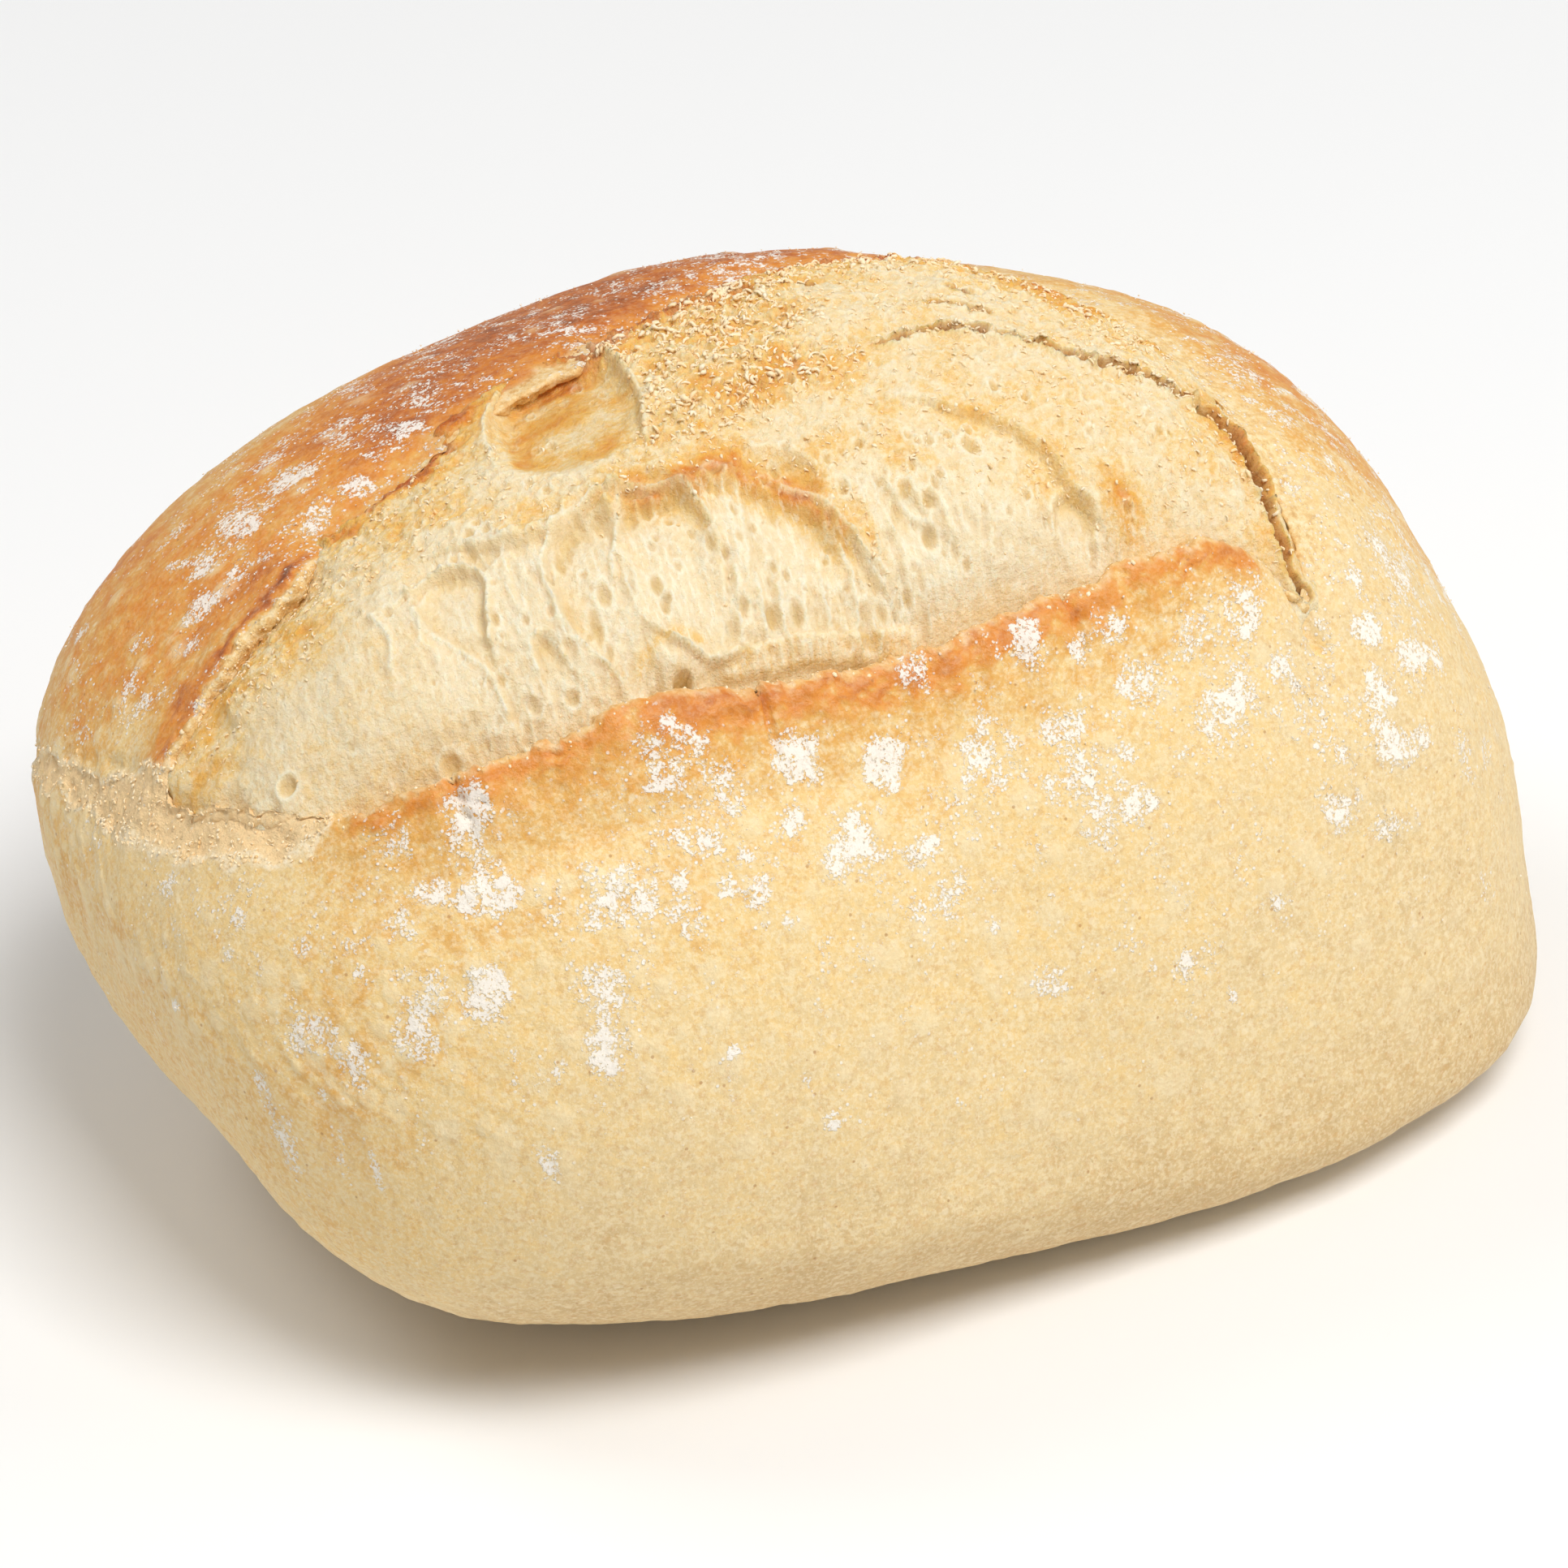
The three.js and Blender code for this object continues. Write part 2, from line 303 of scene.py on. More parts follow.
# %% The columns of the crust
LIP_WIDTH = 4.6
CRUST_COLUMNS = 670
LIP_ROWS, FACE_ROWS, KEEL_ROWS = 50, 66, 24
OUTWARD_SOFTNESS = 0.013  # share of the way round
MORE_ON_LIPS = 0.6


def smooth_round(values, width):
    """Softens values round a closed line, over a share of its length."""
    reach = int(3 * width * len(values))
    kernel = bell(np.arange(-reach, reach + 1) / (width * len(values)), 1.0)
    kernel /= kernel.sum()
    ring = np.vstack([values[-reach - 1 : -1], values, values[1 : reach + 1]])
    return np.stack([np.convolve(ring[:, i], kernel, "valid") for i in range(values.shape[1])], -1)


def front_share(x, y):
    """1 along the front lip, 0 elsewhere."""
    return ramp(-13, -20, y) * ramp(30, 25, x) * ramp(-44, -39.5, x)


def ear_share(x, y):
    """1 along the ear at the back left, 0 elsewhere."""
    return ramp(-29, -33, x) * ramp(-4, 0.2, y)


fine_edge = along(EDGE_LINE, np.linspace(0, 1, 3001))
fine_out = -smooth_round(inward_of(fine_edge), OUTWARD_SOFTNESS)
fine_out /= np.linalg.norm(fine_out, axis=1, keepdims=True)
fine_foot = fine_edge + fine_out * LIP_WIDTH
edge_steps = np.linalg.norm(np.diff(fine_edge, axis=0), axis=1)
foot_steps = np.linalg.norm(np.diff(fine_foot, axis=0), axis=1)
finer = 1 + MORE_ON_LIPS * front_share(*fine_edge[1:].T) + MORE_ON_LIPS * ear_share(*fine_edge[1:].T)
travel = np.concatenate([[0], np.cumsum((0.55 * edge_steps + 0.45 * foot_steps) * finer)])
index = np.arange(len(travel))
column_at = np.interp(np.linspace(0, travel[-1], CRUST_COLUMNS + 1), travel, index)
edge = np.stack([np.interp(column_at, index, fine_edge[:, i]) for i in (0, 1)], -1)
outward = np.stack([np.interp(column_at, index, fine_out[:, i]) for i in (0, 1)], -1)
run_length = np.interp(column_at, index, np.concatenate([[0], np.cumsum(edge_steps)]))
widest = np.linalg.norm(np.diff(edge, axis=0), axis=1).max()
print("column spacing", round(float(widest), 2), "mm at the most")

# %% [markdown]
# ## How the lips rise
#
# The lip has a section of its own: steps outward from the edge, the depth in the torn wall, and
# shares of the lip's rise. On the way round it changes. The front lip stands high and flaky, the
# ear at the back left is a thin tongue of crust that leans in over the crumb, and at the back and
# the right the crust dips a little, because there the crumb grew out over it.

# %% The lips round the opening
LIP_RISE, EAR_RISE, FLAP_RISE = 1.8, 1.0, 0.7
EAR_LEAN, WINDOW_LEAN, FLAP_LEAN = 1.9, 0.9, 0.7
BACK_DIP = -0.5
FLAP_AT = -19.5
CRACKS_AT = (-12.2, 11.4, -33.0)
WINDOW_AT = (-12.0, 7.5)


def window_share(x, y):
    """1 near the folded flap of skin over the window at the back, 0 elsewhere."""
    return ramp(8.5, 6.0, np.hypot(x - WINDOW_AT[0], y - WINDOW_AT[1]))


edge_x, edge_y = edge.T
front_lip, ear = front_share(edge_x, edge_y), ear_share(edge_x, edge_y)
window_rim = window_share(edge_x, edge_y)
open_wall = np.max([front_lip, ear, 0.5 * ramp(28, 32, edge_x), window_rim], axis=0)
uneven = 1 + 0.32 * flat_fractal(edge_x, edge_y, 8, 3, 3.0) + 0.14 * flat_fractal(edge_x, edge_y, 2.4, 3, 9.0)
rise = (LIP_RISE * front_lip * ramp(-44, -30, edge_x) + EAR_RISE * ear) * uneven.clip(0.35, 1.7)
rise += FLAP_RISE * bell(edge_x - FLAP_AT, 3.5) * front_lip
rise *= 1 - 0.35 * ramp(18, 28, edge_x) * front_lip
rise += BACK_DIP * (1 - np.max([front_lip, ear, window_rim], axis=0)) * ramp(-36, -26, edge_x + edge_y)
ragged = 0.8 * flat_fractal(edge_x, edge_y, 4.5, 3, 21.0)
ragged += (0.42 - 0.30 * ear) * flat_fractal(edge_x, edge_y, 1.2, 4, 31.0)
ragged *= 0.55 + 0.45 * ear
lean = EAR_LEAN * ear + WINDOW_LEAN * window_rim * (1 + ragged) + ragged
lean += FLAP_LEAN * bell(edge_x - FLAP_AT, 3.0) * front_lip
print("lips rise to", round(float(rise.max()), 2), "mm and dip to", round(float(rise.min()), 2), "mm")

# %% [markdown]
# Now the sheet is laid row by row. The rows of the lip follow its section. The rows of the face
# run down to the waist of the dough, close together near the lip and wider apart below, and the
# rows of the keel tuck in under the roll. A last row inside the opening closes the sheet.

# %% The lip's section and the sheet's places
FACE_EASING = 2.2
INNER_DEPTH = 16.0
SECTION = curve_through(  # outward, depth in the wall, share of the rise, share of the lean
    [(0.9, -6.0, 0, 0), (0.8, -4.0, 0, 0), (0.5, -2.2, 0, 0.25), (0.15, -1.1, 0.35, 0.75),
     (0.0, -0.45, 0.75, 0.97), (0.05, 0, 0.95, 1.0), (0.5, 0.05, 1.0, 0.97), (1.4, 0, 0.92, 0.8),
     (2.8, 0, 0.5, 0.45), (LIP_WIDTH, 0, 0, 0)],
    closed=False)
section = along(SECTION, np.linspace(0, 1, LIP_ROWS + 1) ** 0.9)


def waist_angles(places):
    """Where the lines from the opening's middle through places meet the dough's outline."""
    low, high = np.ones(len(places)), np.full(len(places), 8.0)
    for _ in range(30):
        share = (low + high) / 2
        at = OPENING_MIDDLE + (places - OPENING_MIDDLE) * share[:, None]
        angle = np.arctan2(at[:, 1], at[:, 0])
        inside = np.hypot(at[:, 0], at[:, 1]) < plan_radius(angle)
        low, high = np.where(inside, share, low), np.where(inside, high, share)
    return angle


foot = edge + outward * LIP_WIDTH
waist = waist_angles(foot)
waist_plan = np.column_stack([np.cos(waist), np.sin(waist)]) * plan_radius(waist)[:, None]
rows, reach_out = [], []
for step_out, wall, share, leaning in section:
    at = edge + outward * (step_out - lean * leaning)[:, None]
    height = wall * (0.3 + 0.7 * open_wall) * (1 - 0.45 * window_rim) + share * rise
    rows.append(crown(at[:, 0], at[:, 1]) + crown_normal(at[:, 0], at[:, 1]) * height[:, None])
    reach_out.append(np.full(len(edge), step_out - 3 * (wall < -0.05) * (1 - leaning)))
for step in np.arange(1, FACE_ROWS + 1) / FACE_ROWS:
    at = foot + (waist_plan - foot) * (1 - (1 - step) ** FACE_EASING)
    rows.append(crown(at[:, 0], at[:, 1]))
    reach_out.append(LIP_WIDTH + np.linalg.norm(at - foot, axis=1))
for step in np.arange(1, KEEL_ROWS + 1) / KEEL_ROWS:
    rows.append(keel(waist, step))
    reach_out.append(LIP_WIDTH + np.linalg.norm(waist_plan - foot, axis=1) + 30 * step)
inner_pole = np.broadcast_to(crown(*OPENING_MIDDLE) - [0, 0, INNER_DEPTH], rows[0].shape)
crust_base = np.stack([inner_pole, *rows])
crust_base[-1] = crust_base[-1, :-1].mean(axis=0)
reach_out = np.stack([np.full(len(edge), -3.0), *reach_out])
print("crust sheet", crust_base.shape)

# %% [markdown]
# The sheet is still as smooth as wet dough. Baking leaves slow swells and small dimples. The lip
# tears in flakes that run along it, so its noise is drawn out in that direction, and three cracks
# cut across it. The heights are in millimetres, and each is a named value or stands before its
# noise.

# %% Relief of the crust
crust_normal = grid_normals(crust_base, closed=True)
out_x, out_y, out_z = np.moveaxis(crust_base, -1, 0)
if (crust_normal[LIP_ROWS + 20, :, 2] < 0).mean() > 0.5:
    crust_normal = -crust_normal
front_row, ear_row = front_lip[None, :], ear[None, :]
lip_band = bell(reach_out - 1.2, 2.0) * np.maximum(front_row, 0.6 * ear_row)
on_wall = ramp(0.3, -0.8, reach_out)
on_skin = 1 - on_wall

SWELL, DIMPLES, FINE_DIMPLES, BLISTER = 0.30, 0.09, 0.035, 0.10
FLAKES, THIN_FLAKES, LIP_CRACK = 0.24, 0.20, 0.75
swell = SWELL * fractal(crust_base, 15, 3, 5.0)
dimple = DIMPLES * fractal(crust_base, 3.0, 3, 11.0) + FINE_DIMPLES * fractal(crust_base, 1.1, 2, 13.0)
flake_run = np.broadcast_to(run_length, out_x.shape)
flakes = flat_fractal(flake_run / 5.0, reach_out + 0.12 * flake_run, 0.8, 3, 17.0)
thin_flakes = flat_fractal(flake_run / 4.0, reach_out + 0.25 * flake_run, 0.35, 3, 20.0)
lip_rough = FLAKES * flakes + THIN_FLAKES * thin_flakes + 0.08 * fractal(crust_base, 0.9, 3, 18.0)
lip_rough *= lip_band
wall_rough = 0.32 * fractal(crust_base, 0.8, 4, 19.0) * ramp(0.6, -0.3, reach_out) * (1 - 0.35 * ear_row)
ear_rough = 0.14 * fractal(crust_base, 2.6, 4, 22.0) + 0.16 * fractal(crust_base, 0.55, 2, 24.0)
wall_rough += ear_rough * ear_row * ramp(1.2, 0.0, reach_out)
for crack_x in CRACKS_AT:
    crooked = out_x - crack_x + 0.35 * fractal(crust_base, 1.5, 2, 23.0)
    lip_rough -= LIP_CRACK * bell(crooked, 0.22) * ramp(4.2, 1.5, reach_out) * front_row * on_skin

# %% [markdown]
# Three lines mark where the skin gave way: a rough band at the left end, a sharp tear along the
# top of that band, and a thin crack that runs on from the gap at the right. The crack's line
# runs just off the skin, so its distance is measured square to the direction that it faces.

# %% Where the skin tore
TORN_SKIN = np.array([
    (-48.5, 20, 32), (-48.5, 13, 34.5), (-48.6, 6, 37), (-48, 0, 39.5), (-46.6, -4.5, 40.6),
    (-44.6, -8.5, 42), (-42.2, -12.8, 43.2)])
TEAR = np.array([
    (-47.2, 22.7, 31), (-47.6, 17, 33.8), (-47.6, 11, 36.6), (-46.9, 6, 38.6), (-46.2, 2.0, 40.0)])
CRACK = np.array([
    (29.0, -26.3, 46.3), (28.6, -27.0, 45.2), (28.9, -27.8, 43.8), (29.2, -28.5, 42.2), (29.9, -29.0, 40.4)])
CRACK_SQUARE_TO = np.array([-0.37, -0.76, 0.53])
TEAR_DEPTH, CRACK_DEPTH = 0.45, 1.0
TORN_HEIGHT, TORN_RIM_HEIGHT = -0.30, 0.16


def away_from(corners, steps=60, square_to=None):
    """How far each point of the crust lies from a curve, measured square to a direction if one is given."""
    nearest = np.full(out_x.shape, np.inf)
    for place in along(curve_through(corners, closed=False), np.linspace(0, 1, steps)):
        off = crust_base - place
        if square_to is not None:
            off = off - (off @ square_to)[..., None] * square_to
        nearest = np.minimum(nearest, np.linalg.norm(off, axis=-1))
    return nearest


torn_wide = 1.4 + 2.2 * ramp(9, -5, out_y)
torn = ramp(1.15, 0.65, (away_from(TORN_SKIN) + fractal(crust_base, 2.4, 3, 29.0)) / torn_wide)
torn_rim = 4 * torn * (1 - torn)
torn_rough = 0.26 * fractal(crust_base, 0.9, 4, 33.0) + 0.26 * fractal(crust_base, 3.0, 3, 34.0)
torn_rough = (torn_rough + TORN_HEIGHT) * torn + TORN_RIM_HEIGHT * torn_rim
crack_away = away_from(CRACK, 40, CRACK_SQUARE_TO) + 0.25 * fractal(crust_base, 1.2, 3, 32.0)
crack_here = ramp(22, 26, out_x) * ramp(35, 38, out_z) * ramp(-20, -24, out_y)
crack_at = bell(crack_away, 0.32) * crack_here
torn_rough -= CRACK_DEPTH * crack_at
torn_rough -= TEAR_DEPTH * bell(away_from(TEAR) + 0.35 * fractal(crust_base, 1.4, 3, 30.0), 0.5)
print("torn skin covers", round(float((torn > 0.5).mean()), 3), "of the crust's points")

# %% [markdown]
# The left face sagged into fine wrinkles, and low on the front the dough was rolled under in a
# soft fold. Blisters are small round lifts, drawn with a fixed seed. All the relief is then added
# up and moved straight out from the surface, and it fades towards the flat base.

# %% Wrinkles, fold and blisters
WRINKLE, FOLD_RISE, FOLD_DEPTH = 0.16, 0.30, 0.42
FOLD_HEIGHT, FOLD_SLOPE = 14.4, -0.1
BLISTERS = 330
left_face = ramp(-28, -44, out_x) * ramp(40, 30, out_z)
wrinkled = crust_base @ np.array(Matrix.Rotation(math.radians(-38), 3, "X")).T
stretch = WRINKLE * fractal(wrinkled, 1.2, 3, 2.0, (2, 4, 0.8)) * left_face
fold_height = FOLD_HEIGHT + FOLD_SLOPE * (out_x + 11) + 0.5 * fractal(crust_base, 6, 2, 35.0)
fold_share = ramp(-31, -22, out_x) * ramp(14, -2, out_x) * (out_y < 0)
fold = FOLD_RISE * bell(out_z - fold_height + 1.8, 1.6) - FOLD_DEPTH * bell(out_z - fold_height, 0.8)
fold *= fold_share

blister_at = crust_base[LIP_ROWS + 2 : LIP_ROWS + FACE_ROWS].reshape(-1, 3)
blister_at = blister_at[rng.choice(len(blister_at), BLISTERS, replace=False)]
blister = np.zeros(out_x.shape)
for place, size in zip(blister_at, rng.uniform(0.4, 1.1, len(blister_at))):
    near = np.abs(out_x - place[0]) < 3 * size
    away = np.linalg.norm(crust_base[near] - place, axis=-1)
    blister[near] = np.maximum(blister[near], ramp(1.15 * size, 0.7 * size, away))

relief = (swell + dimple + BLISTER * blister) * on_skin + lip_rough + wall_rough + torn_rough + stretch + fold
relief *= ramp(0.0, 4.0, out_z)
relief[0] = relief[-1] = 0
crust_points = crust_base + crust_normal * relief[..., None]
crust_points[..., 2] = np.maximum(crust_points[..., 2], 0)
crust_points[:, -1] = crust_points[:, 0]
print("relief", round(float(relief.min()), 2), "to", round(float(relief.max()), 2), "mm")

# %% [markdown]
# Colour follows heat. The lips stand proud, so they brown first, the shoulder behind the opening
# comes next, and the sides near the tray stay pale. Painted shade is added to the same amount low
# on the left end, and along the foot on top of the tray's browning. These amounts are stored on the
# points, so the material can read them: how far the crust has baked, with that painted shade, where
# flour clings, and where the inside of the crust shows as a pale torn edge.

# %% How far each part of the crust has baked, and where shade is painted
PALE_BAKE, LIP_BAKE, BACK_BAKE, TOP_BAKE, EAR_BAKE, FOOT_BAKE_AND_SHADE = 0.13, 0.31, 0.27, 0.27, 0.42, 0.30
MOST_BAKE = 0.60
drift_at = fractal(crust_base, 2.0, 3, 37.0)
patchy = fractal(crust_base, 8, 3, 41.0)
fine = fractal(crust_base, 1.6, 3, 43.0)
spots_at = fractal(crust_base, 0.7, 3, 47.0)

# The shoulder behind the opening, down to the torn band at the left end
behind = ramp(-3, 5, out_y + 0.3 * (out_x + 26)) * ramp(6, 20, out_z)
behind *= 1 - 0.70 * ramp(22, 34, out_x)
tear_height = np.interp(out_y, TORN_SKIN[::-1, 1], TORN_SKIN[::-1, 2])
tear_soft = 0.8 + 6.0 * ramp(2, 20, out_y)
above_tear = ramp(-1, 1, (out_z - tear_height + 0.6 * drift_at) / tear_soft)
behind *= 1 - (1 - above_tear) * ramp(-14, -40, out_x)

# The whole skin, pale at first and a little warmer higher up, with painted shade low on the left
# end, which faces away from the light
bake_and_shade = PALE_BAKE + 0.10 * ramp(14, 42, out_z) + 0.14 * ramp(-32, -46, out_x) * ramp(38, 30, out_z)

# The front lip, hottest along its crest and on its thin flakes
crest_heat = 1.05 * bell(reach_out - 0.7, 0.95) + 0.30 * bell(reach_out - 2.4, 1.8)
crest_heat *= 1 + 0.25 * flat_fractal(flake_run / 3.0, reach_out, 1.6, 3, 45.0) + 0.95 * thin_flakes
lip_right = 1 - 0.30 * ramp(10, 18, out_x) * ramp(27, 20, out_x)
lip_left = 1 - 0.45 * ramp(-16, -24, out_x)
bake_and_shade += LIP_BAKE * crest_heat * front_row * ramp(-44, -40.5, out_x) * lip_right * lip_left
bake_and_shade += 0.14 * np.exp(-np.maximum(reach_out, 0) / 7) * front_row

# The back, brownest on top and paler beside the ear and the window
back_ends = 0.06 * ramp(-26, -36, out_x) - 0.04 * ramp(-38, -44, out_x)
back_top = ramp(45, 56, out_z) * ramp(34, 8, out_x) * ramp(-40, -18, out_x)
bake_and_shade += behind * (BACK_BAKE + back_ends + TOP_BAKE * back_top)
bake_and_shade -= 0.10 * behind * ramp(7, 1, out_z - tear_height) * ramp(-36, -42, out_x)
bake_and_shade -= 0.07 * behind * bell(out_x + 26.0, 7.0) * ramp(54, 46, out_z)
bake_and_shade -= 0.18 * behind * ramp(6.0, 1.0, reach_out) * ramp(-30, -22, out_x)

# The foot, browned where it touched the tray and darkened further as painted shade where it
# meets the floor, and the front just under the lip
bake_and_shade += FOOT_BAKE_AND_SHADE * ramp(2.5, 0.5, out_z) - 0.15 * ramp(17, 4, out_z)
under_lip = 0.06 * ramp(0, -30, out_x) * ramp(32, 40, out_z) - 0.04 * ramp(5, 30, out_x)
bake_and_shade += under_lip * ramp(-5, -20, out_y) * ramp(14, 24, out_z)

# The ear, a band that widens towards its left end
ear_wide = 0.6 + 1.3 * ramp(-38, -44, out_x)
ear_here = ramp(-47.5, -46, out_x) * ear_row
ear_hot = (EAR_BAKE - 0.10 * ramp(-38, -44, out_x)) * ear_here * (1 + 0.8 * patchy)
bake_and_shade += ear_hot * bell((reach_out - 1.1 + 0.5 * fine) / ear_wide, 1.0)
bake_and_shade += 0.10 * bell(reach_out - 3.0, 2.5) * ear_here

# The right end, patches everywhere, pale torn skin, the crack, and a limit for the front lip
bake_and_shade += 0.18 * ramp(29, 37, out_x) * ramp(-22, -6, out_y) * ramp(28, 40, out_z)
bake_and_shade += 0.06 * ramp(34, 48, out_x) * ramp(12, 26, out_z)
bake_and_shade += (0.04 + 0.04 * behind) * patchy + 0.05 * fine
bake_and_shade *= 1 - 0.5 * torn
bake_and_shade += 0.16 * crack_at
most = MOST_BAKE - 0.05 * ramp(8, 14, out_x) * ramp(22, 17, out_x)
bake_and_shade = np.where(front_row > 0.2, np.minimum(bake_and_shade, most + 0.3 * (bake_and_shade - most)), bake_and_shade)
lip_heat = (crest_heat * front_row).clip(0, 1)
print("bake_and_shade", round(float(bake_and_shade.min()), 2), "to", round(float(bake_and_shade.max()), 2))

# %% [markdown]
# Where the skin tore, its cut edge shows the pale inside of the crust. That edge is a narrow line
# on the ear and the front lip, and a wider one round the window and along the gap at the right.

# %% Where the inside of the crust shows
cut = np.maximum(on_wall, ramp(0.5, 0.1, reach_out + 0.4 * spots_at) * np.maximum(ear_row, 0.6 * front_row))
cut = np.maximum(cut, 0.85 * ramp(2.4, 1.2, reach_out + 0.5 * fine) * window_rim[None, :])
right_row = (ramp(27, 30, edge_x) * ramp(-27, -24, edge_y) * ramp(4, 0, edge_y))[None, :]
cut = np.maximum(cut, 0.8 * ramp(3.4, 1.4, reach_out + 0.9 * fine) * right_row)
print("cut edge covers", round(float((cut > 0.5).mean()), 3), "of the crust's points")

# %% [markdown]
# Flour is thrown on by hand before the roll is baked. It lies in a few large patches, many small
# ones, and a thin dust, thickest on the shoulder that faces up. The large patches have places of
# their own and the small ones are drawn with a fixed seed. Where the lip burst open afterwards,
# the new skin carries only what fell from the patches.

# %% Where flour lies on the crust
CLUMPS = [  # patches of flour: x, y, z and reach
    (-19, -29, 44, 2.4), (-16.5, -28, 45, 1.8), (2, -30, 42, 2.3), (20, -28, 45, 2.5), (20, -31, 40, 2.2),
    (33, -31, 33, 2.4), (28, -34, 31, 1.6), (-33, -26, 41, 1.8), (-24.5, -30, 40.5, 2.0),
    (-9, -32, 40, 2.2), (14, -27, 47, 1.6), (7.5, -27, 47, 1.6), (15, -29, 43.5, 2.0),
    (25, -27.5, 45.5, 2.2), (-20, -26, 47, 1.8), (-32.5, -23, 45.5, 2.2), (-38.5, -20, 44, 2.2),
    (-1, -26.5, 48, 1.5), (-11, -28, 45, 1.7), (-5, -29, 43.5, 1.8), (9, -33, 36, 1.9),
    (8.5, -31.5, 39, 1.5), (40, -22, 41, 2.2), (38, -27, 36, 2.0), (41, -29, 28.5, 1.6),
    (-39, -27.5, 35.5, 1.7), (-35.5, -29.5, 36, 1.9), (-40, -28, 33.5, 1.6), (-28.5, -32.5, 35.5, 1.7),
    (-29, -34, 32, 1.6), (-27, -30, 39.5, 1.5), (-21.5, -32, 38.5, 1.5), (-46, -22, 32.5, 1.4),
    (-44, -26, 31.5, 1.4), (-2.5, -34, 34.5, 1.4), (12, -33, 36, 1.5), (22, -30.5, 40, 1.9),
    (-10, -32, 39, 1.5), (34, -29.5, 35.5, 1.7), (-36.5, 13, 47.5, 1.8), (-32.5, 14.5, 49.5, 2.2),
    (-28, 15.5, 51, 2.0), (-40, 7, 45.5, 1.2), (-38, 9.5, 46.5, 1.3), (-35, 9.5, 48.8, 1.1),
    (-43, 10, 42, 1.0), (-41.5, 12, 43, 1.2), (44, -4, 44, 1.6), (46, 2, 42, 1.5), (42, 2, 46, 1.5),
    (7.2, -27, 48, 1.5), (5, -27.2, 47.7, 1.3), (-0.7, -26.6, 48.2, 1.2), (-18.2, -26, 48.4, 1.6),
    (11, -27.5, 46.3, 1.2), (20, -27.2, 46, 1.3), (25.6, -27, 44.5, 1.3), (22, -30.2, 39.8, 1.2),
    (14.5, -28.7, 43.4, 1.4), (34, -29.3, 36.7, 1.3), (41.2, -21.3, 39.8, 1.2), (35.5, -24, 42.5, 1.0),
    (33.3, -31.6, 33, 1.4), (-29, 8.5, 51.4, 1.5), (-25.7, 9.3, 52.6, 1.4), (-42.2, 0.5, 44.8, 1.1)]
SMALL_LUMPS = 230
clumps = np.zeros(out_x.shape)
clump_shape = fractal(crust_base, 2.2, 3, 49.0)
for x, y, z, size in CLUMPS:
    away = np.linalg.norm((crust_base - np.array([x, y, z])) * [1, 1, 0.8], axis=-1) / size
    clumps = np.maximum(clumps, ramp(1.5, 0.35, away + 0.6 * clump_shape) * rng.uniform(0.6, 1.0))
cell = np.linalg.norm(np.gradient(crust_points, axis=0), axis=-1)
cell *= np.linalg.norm(np.gradient(crust_points, axis=1), axis=-1)
lump_weight = ramp(0, -18, out_y) + 0.7 * ramp(30, 42, out_x) + 0.6 * behind * ramp(-12, -24, out_x)
lump_weight = ramp(16, 40, out_z) * lump_weight.clip(0, 1) * ramp(2.5, 5, reach_out)
lump_weight = (lump_weight * cell * on_skin).ravel()
lump_at = rng.choice(lump_weight.size, SMALL_LUMPS, p=lump_weight / lump_weight.sum())
for index, size in zip(lump_at, 0.5 + 1.0 * rng.random(SMALL_LUMPS) ** 2):
    away = np.linalg.norm(crust_base - crust_base.reshape(-1, 3)[index], axis=-1) / size
    clumps = np.maximum(clumps, ramp(1.5, 0.35, away + 0.7 * clump_shape) * rng.uniform(0.35, 0.85))
drift = fractal(crust_base, 4.0, 4, 51.0, (1, 1, 1.5))
spots = fractal(crust_base, 0.9, 3, 53.0)
streaks = fractal(crust_base, 1.8, 3, 57.0, (0.8, 1, 1.8))
flour = (clumps * (1.08 + 0.5 * streaks)).clip(0, 1)
radial = flat_fractal(flake_run, reach_out / 3.2, 0.9, 3, 58.0)
dusting = 0.13 + 0.30 * drift + 0.22 * streaks + 0.12 * ramp(-10, 20, out_x) * ramp(44, 34, out_x)
dusting *= 1 - 0.3 * ramp(38, 30, out_z)
flour = np.maximum(flour, dusting.clip(0, 0.5) * ramp(12, 30, out_z))
on_rim = ramp(26, 34, out_x) * ramp(-32, -20, out_y) * ramp(26, 36, out_z) * ramp(1.5, 4.0, reach_out)
flour = np.maximum(flour, on_rim * ramp(0.0, 0.5, radial + 0.4 * drift) * 0.65)
dusted = behind * (0.29 + 0.40 * drift + 0.30 * spots + 0.45 * radial)
dusted *= 0.45 + 0.62 * ramp(44, 54, out_z)
dusted *= 1 - 0.4 * ramp(-34, -40, out_x)
flour = np.maximum(flour, dusted.clip(0, 0.8)) * on_skin * (1 - 0.7 * torn)
flour *= 1 - 0.75 * lip_heat * (1 - clumps)
flour = np.maximum(flour, 0.5 * ramp(5, 0, out_z)).clip(0, 1)
print("flour covers", round(float((flour > 0.5).mean()), 3), "of the crust's points")

crust_values = {"bake_and_shade": bake_and_shade, "flour": flour, "cut": cut, "blister": blister, "torn": torn, "lip": lip_heat}
crust = make_sheet("crust", crust_points, crust_values)
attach(crust, "root")
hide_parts("bread_roll")

# %% [markdown]
# ## The crumb
#
# The crumb is a patch stretched between the four sides of the opening. A Coons patch does that:
# it blends the front and back edges, blends the left and right ends, and takes away what both
# share. Under the lip and the ear its border hides inside the crust. At the back it reaches out
# over the crust and thins to nothing, as the real crumb does. The border rows turn down, and the
# last of them closes to a point deep inside, so the crumb is a closed body too.

